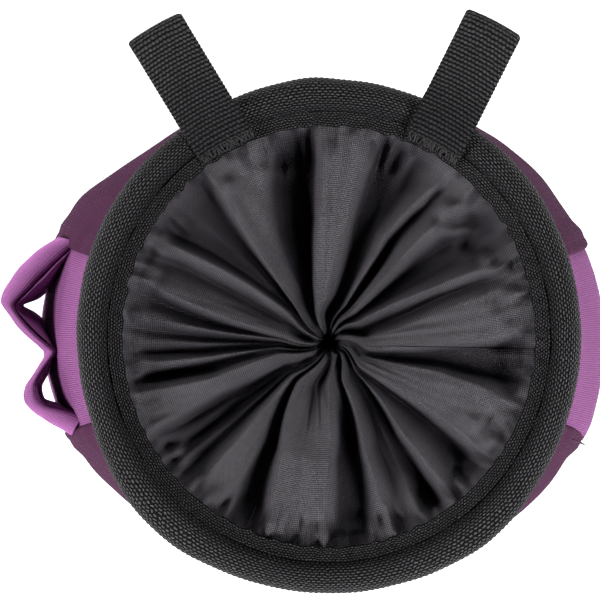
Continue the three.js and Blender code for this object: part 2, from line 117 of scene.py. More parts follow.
# The closure: how far its folds turn towards the hole, in radians, its crease's depth and half
# width in degrees, and the height of the nylon's slack and of its drag lines.
HOLE_TWIST, CREASE_DEPTH, CREASE_WIDTH = 0.35, 0.9 * MM, 0.22
NYLON_SLACK, DRAG_LINES = 0.26 * MM, 0.05 * MM
# The brush band: how far under its top the groove is seen and over its foot the inner edge, its
# run from seam to seam, and the height of its waves and of its cloth's unevenness.
GROOVE_DROP, INNER_LIFT, BAND_RUN = 0.4 * MM, 0.5 * MM, 90 * MM
BAND_WAVE, BAND_SLACK = 0.25 * MM, 0.22 * MM
# Width and height of the photograph, in pixels.
PHOTO_SIDE = 600


def length(name, description, default):
    return FloatProperty(name=name, description=description, default=default, unit="LENGTH")


def degrees(name, description, default):
    return FloatProperty(
        name=name, description=description, default=math.radians(default), subtype="ANGLE"
    )


def colour(name, description, default):
    return FloatVectorProperty(
        name=name, description=description, default=default, subtype="COLOR", min=0, max=1
    )


class ChalkBagBody(bpy.types.PropertyGroup):
    """Sizes of the sewn body"""

    height: length("Height", "From the floor to the rim", 144.7 * MM)
    belly_height: length("Belly height", "Where the body is widest", 66 * MM)
    belly_right: length("Belly right", "Half width of the right side at the belly", 76.5 * MM)
    belly_left: length("Belly left", "Half width of the left side at the belly", 79.3 * MM)
    belly_depth: length("Belly depth", "Half depth at the belly", 66 * MM)
    base_width: length("Base width", "Half width where the wall meets the base", 56 * MM)
    base_depth: length("Base depth", "Half depth where the wall meets the base", 51 * MM)
    wall: length("Wall", "Thickness of the cloth", 1.5 * MM)
    side_span: degrees("Side span", "Width of a side panel", 41)
    right_middle: degrees("Right middle", "Middle of the right side panel", -1.25)
    left_middle: degrees("Left middle", "Middle of the left side panel", 181)
    lap: length("Lap", "How far the plum panels lap over the side panels", 1.4 * MM)
    slack: length("Slack", "Depth of the soft unevenness of the cloth", 0.95 * MM)


class ChalkBagRim(bpy.types.PropertyGroup):
    """Sizes of the padded rim and its seam tape"""

    half_width: length("Half width", "Outer half width", float(RIM_HIGH[0]))
    half_depth: length("Half depth", "Outer half depth", 64.3 * MM)
    pad_width: length("Pad width", "Width of the padded ring seen from above", 9.5 * MM)
    pad_height: length("Pad height", "Height of the padded ring", 13 * MM)
    tape_width: length("Tape width", "Width of the flat strip inside the ring", 2.3 * MM)
    rib_pitch: length("Rib pitch", "Length of a stitch of the binding", 1.28 * MM)
    rung_pitch: length("Rung pitch", "Distance between the rungs of the binding", 0.78 * MM)


class ChalkBagClosure(bpy.types.PropertyGroup):
    """Sizes of the gathered closure"""

    fold_depth: length("Fold depth", "Height of the ridges over the mean surface", 5 * MM)
    dip: length("Dip", "How far the middle lies below the rim", 9 * MM)
    hole_radius: length("Hole radius", "Radius of the gathered hole", 2.2 * MM)
    throat: length("Throat", "How far the cloth turns down inside the hole", 5 * MM)
    ruffle: length("Ruffle", "Height of the fine puckers at the seam", 1.25 * MM)
    thread_pitch: length("Thread pitch", "Distance between the threads of the nylon", 0.5 * MM)
    seed: IntProperty(name="Seed", description="Seed of the fine wrinkles", default=7)


class ChalkBagLoops(bpy.types.PropertyGroup):
    """Sizes of the webbing belt loops and the brush holder"""

    webbing_width: length("Webbing width", "Width of the belt loops' webbing", 15 * MM)
    webbing_thickness: length("Webbing thickness", "Thickness of the webbing", 1.6 * MM)
    slot_height: length("Slot height", "Height of the opening for the belt", 6.5 * MM)
    reach: length("Reach", "How far a belt loop stands out from the rim", 24.8 * MM)
    tail: length("Tail", "Length of webbing sewn down the back", 18 * MM)
    rib_pitch: length("Rib pitch", "Distance between the webbing's cross ribs", 1.06 * MM)
    band_foot: length("Band foot", "Height of the brush holder's lower edge", BAND_FOOT)
    band_width: length("Band width", "Height of the brush holder's band", 22 * MM)
    band_cloth: length("Band cloth", "Thickness of a layer of the brush holder", 1.3 * MM)


class ChalkBagFinish(bpy.types.PropertyGroup):
    """Colours of the cloths and the camera"""

    plum: colour("Plum", "Front, back and base cloth", (0.090, 0.025, 0.069))
    orchid: colour("Orchid", "Side panels and brush holder", (0.335, 0.115, 0.312))
    binding: colour("Binding", "Knit binding of the rim", (0.130, 0.123, 0.133))
    webbing: colour("Webbing", "Webbing of the belt loops", (0.084, 0.080, 0.086))
    nylon: colour("Nylon", "Nylon of the closure", (0.118, 0.108, 0.124))
    camera_height: length("Camera height", "Camera above the rim", 0.70)
    camera_x: length("Camera x", "Camera to the left of the rim's middle", -7.2 * MM)
    camera_y: length("Camera y", "Camera behind the rim's middle", 9.1 * MM)
    frame_width: length("Frame width", "Width of the view at the rim", 148.9 * MM)


# One row per ridge, crease or valley of the closure, counterclockwise from +X: degrees near
# the hole, half way and at the rim, then the rise at the same places as a share of the depth.
FOLDS = np.array([
    (-9.5, -3.5, -0.3, -0.3, -0.4, -0.2),
    (-4, 0, 3, 0.5, 0.6, 0.5),
    (9, 16, 17, 0.4, 0.6, 0.4),
    (17, 21.3, 21, -0.8, -0.5, 0.1),
    (32, 27, 24.5, 0.5, 0.6, 0.3),
    (36, 32.5, 31.5, -0.3, -0.4, -0.3),
    (39, 40, 37.5, -0.5, -0.7, -0.4),
    (46.5, 47.3, 46, 0.8, 0.8, 0.6),
    (55, 56, 51.5, -0.6, -0.5, 0.1),
    (59.3, 60, 54, 0.5, 0.6, 0.4),
    (63.5, 64.5, 60, -0.7, -0.2, -0.2),
    (69, 74, 73, -0.6, -0.6, -0.4),
    (84, 78, 77, 0.5, 0.8, 0.7),
    (97, 90.7, 89.5, 0.5, 1, 0.9),
    (101, 95, 93, -0.6, -1, -0.5),
    (110, 108, 101.5, -0.5, -0.95, -0.35),
    (120, 114.5, 108, 0.3, 0.5, 0.4),
    (125, 125, 123.5, 0.5, 0.7, 0.5),
    (128, 128.3, 127.5, -0.8, -0.9, -0.3),
    (130, 133, 135, -0.7, -0.4, 0),
    (132, 138.3, 143.2, -0.8, -0.9, -0.4),
    (137, 142.5, 147.5, 0.6, 0.7, 0.5),
    (150, 150, 152, -0.5, -0.4, -0.2),
    (166, 164, 160.5, 0.7, 0.7, 0.4),
    (171, 168.5, 164.5, 0, -0.7, -0.3),
    (174, 172.8, 171, 0.2, 0.3, 0.2),
    (177, 176.6, 175, -0.7, -0.6, -0.1),
    (179.5, 179.7, 179, -0.4, 0, 0.1),
    (182, 183, 182.5, -0.5, -0.6, -0.1),
    (184.5, 186.4, 186.5, 0.2, 0.4, 0.4),
    (188, 192, 190.5, -0.4, -0.9, -0.4),
    (193, 197, 195, 0.6, 0.7, 0.5),
    (205, 204, 206.5, 0.2, 0.35, 0.3),
    (212, 209, 210, -0.6, -0.7, -0.2),
    (215, 213, 213, -0.8, -0.4, 0),
    (218, 217, 216, -0.9, -0.8, -0.2),
    (220.5, 221, 219.5, -0.2, 0, 0.1),
    (223, 224.8, 223.8, -0.6, -0.3, -0.1),
    (226, 228.5, 228, 0.5, 0.7, 0.5),
    (230, 238, 238, 0.3, 0.3, 0.3),
    (234, 245, 248, -0.7, -0.9, -0.7),
    (238, 249.5, 253.2, 0.7, 0.9, 0.8),
    (257, 262, 262, -0.1, 0.9, 0.5),
    (278, 274, 269.5, 0.6, 0.8, 0.7),
    (291, 279, 275, 0, -0.5, 0),
    (296, 286, 284, -0.7, -0.9, -0.2),
    (300, 292, 289.5, 0.5, 0.6, 0.5),
    (312, 298.3, 295, -0.6, -0.4, 0.2),
    (315, 303.5, 300, -0.5, -0.2, 0.3),
    (318, 308.3, 306, -0.7, -0.7, -0.5),
    (320.5, 311.8, 310.5, 0.3, 0.7, 0.5),
    (322.5, 317, 317, 0, 0.15, 0.1),
    (325, 323.8, 322.3, -0.7, -0.7, -0.3),
    (329.5, 329.5, 326.5, 0.6, 0.8, 0.6),
    (344, 347.5, 343.5, 0.2, 0.8, 0.7),
    (347, 352, 349, -0.1, -0.7, -0.2),
], dtype=[(name, float) for name in (
    "near_angle", "mid_angle", "rim_angle", "near_rise", "mid_rise", "rim_rise")])
FOLD_NEAR, FOLD_MID, FOLD_RIM = 0.19, 0.54, 0.88
FOLD_CENTRE = np.array((-1.7, -2.1)) * MM
HOLE_CENTRE = np.array((0.0, -1.6)) * MM
# Where the skirt's own seam shows as a thin crease, in degrees.
SEAM_CREASE = 358.9

# Small hollows between the folds: degrees, millimetres out from FOLD_CENTRE, half widths in
# the same units and depth in millimetres.
POCKETS = np.array([
    (16, 9, 7, 4, 2.2),
    (73, 8, 9, 4.5, 2.6),
    (112, 12, 9, 3.5, 1.3),
    (152, 6.5, 7, 3, 1.8),
    (208, 6, 8, 1.2, 1.0),
    (269, 8.7, 6, 3.6, 2.6),
    (288, 6, 7, 1.4, 1.9),
    (340, 7, 7, 2.6, 1.7),
    (323, 12, 3.5, 2, 1.2),
    (93, 46, 1.5, 4, 1.4),
    (53.5, 21, 2.2, 7, 1.6),
    (348.5, 33, 2.4, 6, 1.2),
    (99, 22, 4, 7, 1.4),
    (244, 29, 2.5, 6, 1.2),
    (284.5, 22, 3.5, 7, 1.2),
], dtype=[(name, float) for name in ("angle", "out", "wide", "long", "depth")])

# Patches of crosswise creases: degrees, millimetres out, half widths and height as above.
CRUMPLES = np.array([
    (42, 46, 9, 6, 2.21),
    (28, 47, 5, 4, 1.36),
    (333, 44, 7, 6, 1.53),
    (316, 48, 6, 4, 1.53),
    (285, 48, 9, 5, 1.87),
    (232, 47, 8, 4, 1.19),
    (186, 48, 12, 3, 1.36),
    (120, 47, 7, 4, 1.36),
    (70, 46, 6, 4, 1.53),
    (104, 46, 6, 6, 1.53),
    (155, 47, 7, 5, 1.36),
    (8, 46, 9, 5, 1.02),
    (265, 47, 6, 4, 1.36),
    (213, 47, 6, 4, 1.36),
], dtype=[(name, float) for name in ("angle", "out", "wide", "long", "depth")])

# The brush band seen from above, one row per bend from the back seam to the front seam, in
# pixels of the photograph: the groove between its two layers, then its outer and inner edges.
BRUSH_BAND = np.array([
    (84, 242, 60, 236, 86, 250), (73, 247, 49, 242.5, 76, 257), (58, 260, 35, 251.5, 66, 273),
    (46, 272, 22, 265, 57, 286), (37, 281, 13, 276, 49, 293), (26, 293, 5, 288, 40, 299),
    (18, 301, 1.2, 297, 30, 303), (15, 306, 2, 302.5, 23, 305), (17, 312, 6, 311, 25, 306.5),
    (27, 325, 17, 325, 34, 311), (42, 339.5, 32, 340, 44, 318), (51, 346, 39.5, 346.5, 51, 334),
    (56.5, 351, 45, 352, 59, 349), (53, 357, 45, 357.5, 56, 360), (42, 372, 35, 372, 50, 373),
    (36, 383, 26.5, 384, 42, 385), (37, 393, 23.5, 394, 41, 394), (41, 401, 26, 403, 44, 399.5),
    (48, 405.5, 33, 413, 51, 400.5), (62, 408, 48, 421, 64, 404), (75, 411, 61, 429, 76, 407),
    (86, 415, 74, 437, 87, 410),
], dtype=[(name, float) for name in (
    "groove_x", "groove_y", "outer_x", "outer_y", "inner_x", "inner_y")])
# Where the belly stands out from its oval: angle and spread in degrees, depth in millimetres.
FULL_SPOTS = ((152, 10, 3.6), (322, 22, 0.8), (338, 6, 1.2))
# Where the rim's pad stands out from its ring, in the same way.
RIM_FULL_SPOTS = ((228, 19, 1.4), (308, 17, 1.5), (95, 9, 0.6))
# Each belt loop: its name, its place on the rim and its lean, in degrees.
BELT_LOOPS = (("belt_loop_left", 118.3, 3.0), ("belt_loop_right", 61.4, 2.0))
# The brush band's cut from its outer foot over the groove and back inside: the way from the
# groove (0) to the outer (1) or inner (-1) edge, the height from foot to top, and 1 where it is
# the lining, a layer nearer the middle of the band.
BAND_SECTION = (
    (0.93, 0.0, 0), (0.97, 0.1, 0), (1.0, 0.3, 0), (1.0, 0.5, 0), (0.93, 0.7, 0),
    (0.76, 0.87, 0), (0.5, 0.965, 0), (0.28, 1.0, 0), (0.1, 0.985, 0), (0.0, 0.9, 0),
    (0.0, 0.82, 0), (-0.02, 0.86, 0), (-0.12, 0.965, 0), (-0.26, 0.975, 0),
    (-0.42, 0.92, 0), (-0.6, 0.72, 0), (-0.78, 0.45, 0), (-0.93, 0.15, 0),
    (-1.0, 0.01, 0), (-0.98, 0.0, 1), (-0.85, 0.1, 1), (-0.7, 0.4, 1), (-0.4, 0.68, 1),
    (0.0, 0.74, 1), (0.4, 0.68, 1), (0.8, 0.4, 1), (0.9, 0.1, 1), (0.88, 0.0, 1),
)
# Seeded unevenness of the cloths: how far apart its waves are across and along, how many run
# over one another, and the seed. A spread of 1 stands where it runs one way only.
UNEVENNESS = {
    "slack": (46 * MM, 60 * MM, 14, 3),
    "fine slack": (13 * MM, 30 * MM, 16, 5),
    "puckers under the rim": (8 * MM, 60 * MM, 10, 8),
    "sag over the base": (60 * MM, 11 * MM, 8, 12),
    "puckers at a seam": (7 * MM, 1, 9, 21),
    "lumps of the pad": (34 * MM, 1, 10, 31),
    "dents of the pad": (11 * MM, 9 * MM, 14, 33),
    "patches of the tape": (24 * MM, 1, 8, 40),
    "fringe of the tape": (3.2 * MM, 1, 16, 41),
    "wander of the tape": (2.6 * MM, 2.0 * MM, 18, 43),
    "ruffle": (3.0 * MM, 11 * MM, 16, 51),
    "patches of the ruffle": (30 * MM, 1, 8, 53),
    "painted_tuck_shade": (4.5 * MM, 8 * MM, 14, 57),
    "painted_nip_shade": (1.7 * MM, 3 * MM, 18, 59),
    "slack of the nylon": (2.4 * MM, 13 * MM, 22, 61),
    "wave of the band": (14 * MM, 1, 6, 63),
    "cloth of the band": (8 * MM, 12 * MM, 10, 61),
}


def sizes(group):
    """The sizes or colours of one of the property groups."""
    return getattr(bpy.context.scene, f"chalk_bag_{group}")


def smooth(x, low=0.0, high=1.0):
    t = np.clip((np.asarray(x, float) - low) / (high - low), 0, 1)
    return t * t * (3 - 2 * t)


def mix(a, b, t):
    return a + (b - a) * t


def waves(x, y, spread_x, spread_y, count, seed):
    """Soft seeded unevenness between -1 and 1: a sum of waves in two directions."""
    rng = np.random.default_rng(seed)
    total = np.zeros(np.broadcast(x, y).shape)
    for _ in range(count):
        turn = rng.uniform(0, math.tau)
        size = rng.uniform(0.55, 1.0)
        total += np.cos(
            math.tau * (x * math.cos(turn) * size / spread_x + y * math.sin(turn) * size / spread_y)
            + rng.uniform(0, math.tau)
        )
    return total / math.sqrt(count) * 0.7


def uneven(kind, x, y=0.0):
    """One named unevenness at places across and along a cloth."""
    return waves(x, y, *UNEVENNESS[kind])


def degrees_from(angle, middle):
    """Degrees from a middle to an angle, the short way round."""
    return (angle - middle + 180) % 360 - 180


def closed(front, back):
    """Rows of points on the front and on the back of a cloth, joined into closed loops."""
    return np.concatenate([front, back[:, ::-1]], 1)


def pairs(across, along):
    """Places across and along the cloth as one grid, for its weave."""
    return np.stack(np.broadcast_arrays(across, along), -1)


def run_lengths(points):
    """Distance along a line from its first point to each of its points."""
    return np.concatenate([[0], np.cumsum(np.linalg.norm(np.diff(points, axis=0), axis=1))])


def points_at(where, steps, points):
    """Points of a line at other distances along it."""
    return np.stack([np.interp(where, steps, column) for column in points.T], 1)


def softened(line, weights):
    """A line whose bends are rounded by a running mean."""
    spare = len(weights) // 2
    padded = np.pad(line, ((spare, spare), (0, 0)), "edge")
    return np.stack([np.convolve(column, weights, "valid") for column in padded.T], 1)


def new_object(name, verts, faces, uvs=None, smooth_shade=True):
    """An object of four-cornered faces, with its weave laid where uvs are given."""
    mesh = bpy.data.meshes.new(name)
    mesh.vertices.add(len(verts))
    mesh.vertices.foreach_set("co", np.asarray(verts, np.float32).ravel())
    mesh.loops.add(faces.size)
    mesh.loops.foreach_set("vertex_index", faces.astype(np.int32).ravel())
    mesh.polygons.add(len(faces))
    mesh.polygons.foreach_set("loop_start", np.arange(0, faces.size, 4, dtype=np.int32))
    mesh.polygons.foreach_set("loop_total", np.full(len(faces), 4, np.int32))
    mesh.update(calc_edges=True)
    if uvs is not None:
        layer = mesh.uv_layers.new(name="weave")
        index = np.empty(len(mesh.loops), np.int32)
        mesh.loops.foreach_get("vertex_index", index)
        layer.data.foreach_set("uv", np.asarray(uvs, np.float32)[index].ravel())
    mesh.validate()
    if smooth_shade:
        mesh.polygons.foreach_set("use_smooth", np.ones(len(mesh.polygons), bool))
    piece = bpy.data.objects.new(name, mesh)
    bpy.context.scene.collection.objects.link(piece)
    return piece


def grid_faces(columns, rows, ring_columns, ring_rows):
    """Quads over a grid of points stored column by column."""
    i = np.arange(columns if ring_columns else columns - 1)
    k = np.arange(rows if ring_rows else rows - 1)
    i, k = np.meshgrid(i, k, indexing="ij")
    right, up = (i + 1) % columns, (k + 1) % rows
    corners = (i * rows + k, right * rows + k, right * rows + up, i * rows + up)
    return np.stack([c.ravel() for c in corners], 1)


def tube_faces(count, size, ring):
    """Quads through count loops of size points. The ends of an open tube get a ladder each."""
    faces = [grid_faces(count, size, ring, True)]
    if not ring:
        k = np.arange(size // 2 - 1)
        cap = np.stack([k, k + 1, size - 2 - k, size - 1 - k], 1)
        faces += [cap, (count - 1) * size + cap[:, ::-1]]
    return np.concatenate(faces)


def swept(name, loops, uvs, ring):
    """A closed body through loops of points: loops[i][k]."""
    count, size, _ = loops.shape
    faces = tube_faces(count, size, ring)
    return new_object(name, loops.reshape(-1, 3), faces, uvs.reshape(-1, 2))


def polar(angle, radius, height):
    return np.stack(np.broadcast_arrays(radius * np.cos(angle), radius * np.sin(angle), height), -1)


def oval(angle, half_width, half_depth, exponent=2.0):
    across = np.abs(np.cos(angle) / half_width) ** exponent
    deep = np.abs(np.sin(angle) / half_depth) ** exponent
    return (across + deep) ** (-1 / exponent)


def rim_radius(angle):
    rim = sizes("rim")
    return oval(angle, rim.half_width, rim.half_depth)


def pad_centre(angle):
    return rim_radius(angle) - sizes("rim").pad_width / 2


def mouth_radius(angle):
    rim = sizes("rim")
    return rim_radius(angle) - rim.pad_width - rim.tape_width


def swell(height):
    """How far the body has swelled: 0 at the base and the rim, 1 at the belly."""
    body = sizes("body")
    below = 1 - np.clip(height, 0, body.belly_height) / body.belly_height
    low = (1 - below**BARREL_BEND) ** BARREL_ROUNDING
    above = np.clip((height - body.belly_height) / (body.height - body.belly_height), 0, 1)
    return np.where(height < body.belly_height, low, np.cos(above * math.pi / 2))


def fullness(angle, spots):
    """How far the belly or the pad stands out from its oval at an angle."""
    total = 0
    for middle, spread, depth in spots:
        away = degrees_from(np.degrees(angle), middle)
        total = total + depth * MM * np.exp(-((away / spread) ** 2))
    return total


def body_radius(angle, height):
    body, rim = sizes("body"), sizes("rim")
    share = swell(height)
    seat = (rim.pad_width - body.wall) / 2
    left = np.cos(angle) < 0
    upper = np.asarray(height) > body.belly_height
    belly = np.where(left, body.belly_left, body.belly_right)
    width = mix(np.where(upper, rim.half_width - seat, body.base_width), belly, share)
    depth = mix(np.where(upper, rim.half_depth - seat, body.base_depth), body.belly_depth, share)
    squareness = np.where(left, SQUARE_LEFT, SQUARE_RIGHT)
    return oval(angle, width, depth, 2 + squareness * share) + fullness(angle, FULL_SPOTS) * share


def material(name):
    return bpy.data.materials[name]


def finish_piece(piece, cloth, slot, replaces=(), **cut):
    """Give a piece its cloth and its body, and hide the nodes it stands for. Its slot and cut are not
    used.
    """
    piece.data.materials.append(material(cloth))
    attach(piece, "root")
    if replaces:
        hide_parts(*replaces)


def threads(name, starts, ends, ups, radius, thread, slot):
    """Short rounded stitches, each from a start to an end and bowed a little along its up."""
    starts, ends, ups = (np.asarray(a, float) for a in (starts, ends, ups))
    along = ends - starts
    along /= np.linalg.norm(along, axis=1, keepdims=True)
    ups = ups - along * np.sum(ups * along, 1, keepdims=True)
    ups /= np.linalg.norm(ups, axis=1, keepdims=True)
    across = np.cross(along, ups)
    turn = (np.arange(STITCH_SIDES) / STITCH_SIDES * math.tau)[None, :, None]
    rings = []
    for share, girth in zip(np.linspace(0, 1, len(STITCH_GIRTH)), STITCH_GIRTH * radius):
        rise = (STITCH_BOW * math.sin(share * math.pi) - STITCH_SINK) * radius
        middle = mix(starts, ends, share) + ups * rise
        around = across[:, None] * np.cos(turn) + ups[:, None] * np.sin(turn)
        rings.append(middle[:, None] + around * girth)
    points = np.stack(rings, 1)
    stitch = tube_faces(len(rings), STITCH_SIDES, False)
    first = np.arange(len(starts)) * len(rings) * STITCH_SIDES
    faces = (stitch[None] + first[:, None, None]).reshape(-1, 4)
    finish_piece(new_object(name, points.reshape(-1, 3), faces), thread, slot)


def stitch_line(name, points, ups, sewing, thread, slot):
    """A running stitch along a line."""
    pitch, share, radius = sewing
    steps = run_lengths(points)
    count = max(int(steps[-1] / pitch), 1)
    begin = (np.arange(count) + (1 - share) / 2) * steps[-1] / count
    finish = begin + share * steps[-1] / count
    starts, ends = points_at(begin, steps, points), points_at(finish, steps, points)
    ups = points_at((begin + finish) / 2, steps, ups)
    threads(name, starts, ends, ups, radius, thread, slot)


class NodeDesk:
    """Adds and joins shader nodes in one tree."""

    def __init__(self, tree):
        self.tree = tree

    def add(self, kind, inputs=None, **settings):
        node = self.tree.nodes.new(kind)
        for key, value in settings.items():
            setattr(node, key, value)
        for key, value in (inputs or {}).items():
            self.feed(node.inputs[key], value)
        return node

    def feed(self, socket, value):
        if isinstance(value, bpy.types.NodeSocket):
            self.tree.links.new(value, socket)
        else:
            socket.default_value = value

    def math(self, operation, *values):
        node = self.tree.nodes.new("ShaderNodeMath")
        node.operation = operation
        for socket, value in zip(node.inputs, values):
            self.feed(socket, value)
        return node.outputs[0]

    def blend(self, factor, low, high):
        node = self.tree.nodes.new("ShaderNodeMix")
        node.data_type = "RGBA"
        self.feed(node.inputs[0], factor)
        self.feed(node.inputs[6], low)
        self.feed(node.inputs[7], high)
        return node.outputs[2]

    def noise(self, scale, detail=2.0, distortion=0.0):
        """Noise through the piece, from 0 to 1."""
        place = self.add("ShaderNodeTexCoord")
        noise = self.add("ShaderNodeTexNoise", {
            "Vector": place.outputs["Object"], "Scale": scale, "Detail": detail,
            "Distortion": distortion,
        })
        return noise.outputs[0]

    def swing(self, value, amount):
        """A value from 0 to 1 as a swing to both sides of 0."""
        return self.math("MULTIPLY", self.math("SUBTRACT", value, 0.5), amount)

    def threads(self, given):
        """The weave's place counted in threads across and along."""
        uv = self.add("ShaderNodeUVMap", uv_map="weave")
        place = self.add("ShaderNodeSeparateXYZ", {"Vector": uv.outputs[0]})
        return [self.math("DIVIDE", place.outputs[axis], given[f"{way} pitch"])
                for axis, way in (("X", "Across"), ("Y", "Along"))]


FLOAT, COLOUR = "NodeSocketFloat", "NodeSocketColor"
# Noise scales, in waves a metre: fibres, strands, lint, twist of a thread.
FIBRES, STRANDS, LINT, TWIST = 2600.0, 900.0, 1500.0, 3000.0
PITCHES = [("Across pitch", FLOAT, 0.001), ("Along pitch", FLOAT, 0.001)]
WOVEN = [("Height", FLOAT), ("Gap", FLOAT)]


def new_group(name, inputs, outputs):
    tree = bpy.data.node_groups.new(name, "ShaderNodeTree")
    for label, kind, default in inputs:
        socket = tree.interface.new_socket(label, in_out="INPUT", socket_type=kind)
        socket.default_value = default
    for label, kind in outputs:
        tree.interface.new_socket(label, in_out="OUTPUT", socket_type=kind)
    desk = NodeDesk(tree)
    entry = desk.add("NodeGroupInput")
    leave = desk.add("NodeGroupOutput")
    return desk, entry.outputs, leave.inputs


def plain_weave_group():
    """Threads over and under one another, with a mask of the gaps at the crossings for painted shade.
    """
    desk, given, out = new_group("Plain weave", PITCHES + [("Fuzz", FLOAT, 0.1)], WOVEN)
    across, along = desk.threads(given)
    hill_a, hill_b = (
        desk.math("ABSOLUTE", desk.math("SINE", desk.math("MULTIPLY", way, math.pi)))
        for way in (across, along)
    )
    warp, weft = (
        desk.math("MULTIPLY", desk.math("SQRT", over), desk.math("MULTIPLY_ADD", under, 0.5, 0.5))
        for over, under in ((hill_a, hill_b), (hill_b, hill_a))
    )
    cell = desk.math("ADD", desk.math("FLOOR", across), desk.math("FLOOR", along))
    turn = desk.math("PINGPONG", cell, 1.0)
    woven = desk.math("ADD", desk.math("MULTIPLY", warp, turn),
                      desk.math("MULTIPLY", weft, desk.math("SUBTRACT", 1.0, turn)))
    rough = desk.swing(desk.noise(FIBRES), given["Fuzz"])
    desk.feed(out["Height"], desk.math("ADD", woven, rough))
    low = desk.math("SUBTRACT", 1.0, desk.math("MAXIMUM", hill_a, hill_b))
    desk.feed(out["Gap"], desk.math("MULTIPLY", low, 2.2))


def beaded_weave_group():
    """Rows of rounded stitches, as in webbing and knit binding, with a slot mask for painted shade.
    """
    desk, given, out = new_group("Beaded weave", PITCHES + [
        ("Stagger", FLOAT, 0.5), ("Bead width", FLOAT, 0.5), ("Bead height", FLOAT, 0.42),
        ("Sway", FLOAT, 0.5), ("Fuzz", FLOAT, 0.1)], WOVEN)
    across, along = desk.threads(given)
    across = desk.math("ADD", across, desk.swing(desk.noise(210.0), given["Sway"]))
    drift = desk.noise(260.0, distortion=1.5)
    along = desk.math("ADD", along, desk.swing(drift, given["Sway"]))
    odd = desk.math("PINGPONG", desk.math("FLOOR", along), 1.0)
    shifted = desk.math("ADD", across, desk.math("MULTIPLY", odd, given["Stagger"]))
    wide, tall = (
        desk.math("DIVIDE", desk.math("SUBTRACT", desk.math("FRACT", way), 0.5), given[size])
        for way, size in ((shifted, "Bead width"), (along, "Bead height"))
    )
    away = desk.math("ADD", desk.math("POWER", desk.math("ABSOLUTE", wide), 2.6),
                     desk.math("POWER", desk.math("ABSOLUTE", tall), 2.2))
    bead = desk.math("SQRT", desk.math("MAXIMUM", desk.math("SUBTRACT", 1.0, away), 0.0))
    rough = desk.swing(desk.noise(FIBRES), given["Fuzz"])
    desk.feed(out["Height"], desk.math("ADD", bead, rough))
    slot = desk.add("ShaderNodeMapRange", {"Value": away, "From Min": 0.25, "From Max": 0.85})
    desk.feed(out["Gap"], slot.outputs[0])


def mottle_group():
    """Dye that varies softly, with a few paler threads."""
    desk, given, out = new_group(
        "Mottled dye",
        [("Colour", COLOUR, (0.5, 0.5, 0.5, 1)), ("Amount", FLOAT, 0.2), ("Lint", FLOAT, 0.1)],
        [("Colour", COLOUR)],
    )
    shade = desk.math("ADD", desk.math("MULTIPLY", desk.noise(42.0, detail=3.0), 0.6),
                      desk.math("MULTIPLY", desk.noise(STRANDS, detail=3.0), 0.4))
    level = desk.math("ADD", desk.swing(shade, given["Amount"]), 1.0)
    toned = desk.add("ShaderNodeVectorMath", {0: given["Colour"], "Scale": level},
                     operation="SCALE")
    speck = desk.add("ShaderNodeMapRange", {"Value": desk.noise(LINT), "From Min": 0.66,
                                            "From Max": 0.78})
    pale = desk.math("MULTIPLY", speck.outputs[0], given["Lint"])
    desk.feed(out["Colour"], desk.blend(pale, toned.outputs[0], (0.8, 0.78, 0.8, 1)))


def group_node(desk, name, inputs):
    node = desk.add("ShaderNodeGroup", node_tree=bpy.data.node_groups[name])
    for key, value in inputs.items():
        desk.feed(node.inputs[key], value)
    return node


def new_material(name):
    made = bpy.data.materials.new(name)
    made.use_nodes = True
    return NodeDesk(made.node_tree), made.node_tree.nodes["Principled BSDF"].inputs


def shaded(dye, *shares):
    """A dye made lighter or darker, by one share or by one for each of red, green and blue."""
    return tuple(min(1, c * s) for c, s in zip(dye, shares * (3 // len(shares))))


def cloth_material(name, dye, relief, pitches, *, roughness, depth, gap_shade, sheen=0.0,
                   amount=0.25, lint=0.05, fuzz=0.15, gloss=0.25, painted_recess_shade=False):
    """A woven or knit cloth: relief names the shader group that lays its threads."""
    desk, surface = new_material(name)
    weave = group_node(desk, relief, {**pitches, "Fuzz": fuzz})
    tone = group_node(desk, "Mottled dye", {"Colour": (*dye, 1), "Amount": amount, "Lint": lint})
    # Painted shade: the dye darkens in the gaps between threads.
    shade = desk.math("MULTIPLY", weave.outputs["Gap"], gap_shade)
    dyed = tone.outputs[0]
    # Painted shade: where the cloth takes it, a point attribute darkens the dye in folds, grooves and
    # under sides.
    if painted_recess_shade:
        shade_attribute = desk.add("ShaderNodeAttribute", attribute_name="painted_shade")
        dyed = desk.blend(shade_attribute.outputs["Fac"], dyed, (*shaded(dye, *DEEPEST_PAINTED_SHADE), 1))
    desk.feed(surface["Base Color"], desk.blend(shade, dyed, (*shaded(dye, *PAINTED_GAP_SHADE), 1)))
    rougher = desk.math("MULTIPLY_ADD", weave.outputs["Gap"], 0.2, roughness)
    desk.feed(surface["Roughness"], rougher)
    bump = desk.add("ShaderNodeBump", {"Height": weave.outputs["Height"], "Distance": depth,
                                       "Strength": 1.0})
    desk.feed(surface["Normal"], bump.outputs[0])
    desk.feed(surface["Sheen Weight"], sheen)
    desk.feed(surface["Sheen Roughness"], 0.4)
    desk.feed(surface["Sheen Tint"], (*shaded(dye, 2.5), 1))
    desk.feed(surface["Specular IOR Level"], gloss)


def thread_material(name, dye, roughness=0.6):
    """Twisted sewing thread."""
    desk, surface = new_material(name)
    tone = group_node(desk, "Mottled dye", {"Colour": (*dye, 1), "Amount": 0.5, "Lint": 0.0})
    desk.feed(surface["Base Color"], tone.outputs[0])
    bump = desk.add("ShaderNodeBump", {"Height": desk.noise(TWIST), "Distance": 0.08 * MM})
    desk.feed(surface["Normal"], bump.outputs[0])
    desk.feed(surface["Roughness"], roughness)
    desk.feed(surface["Specular IOR Level"], 0.2)


def beads(across, along, width, height, sway):
    return {"Across pitch": across, "Along pitch": along, "Stagger": 0.5, "Bead width": width,
            "Bead height": height, "Sway": sway}


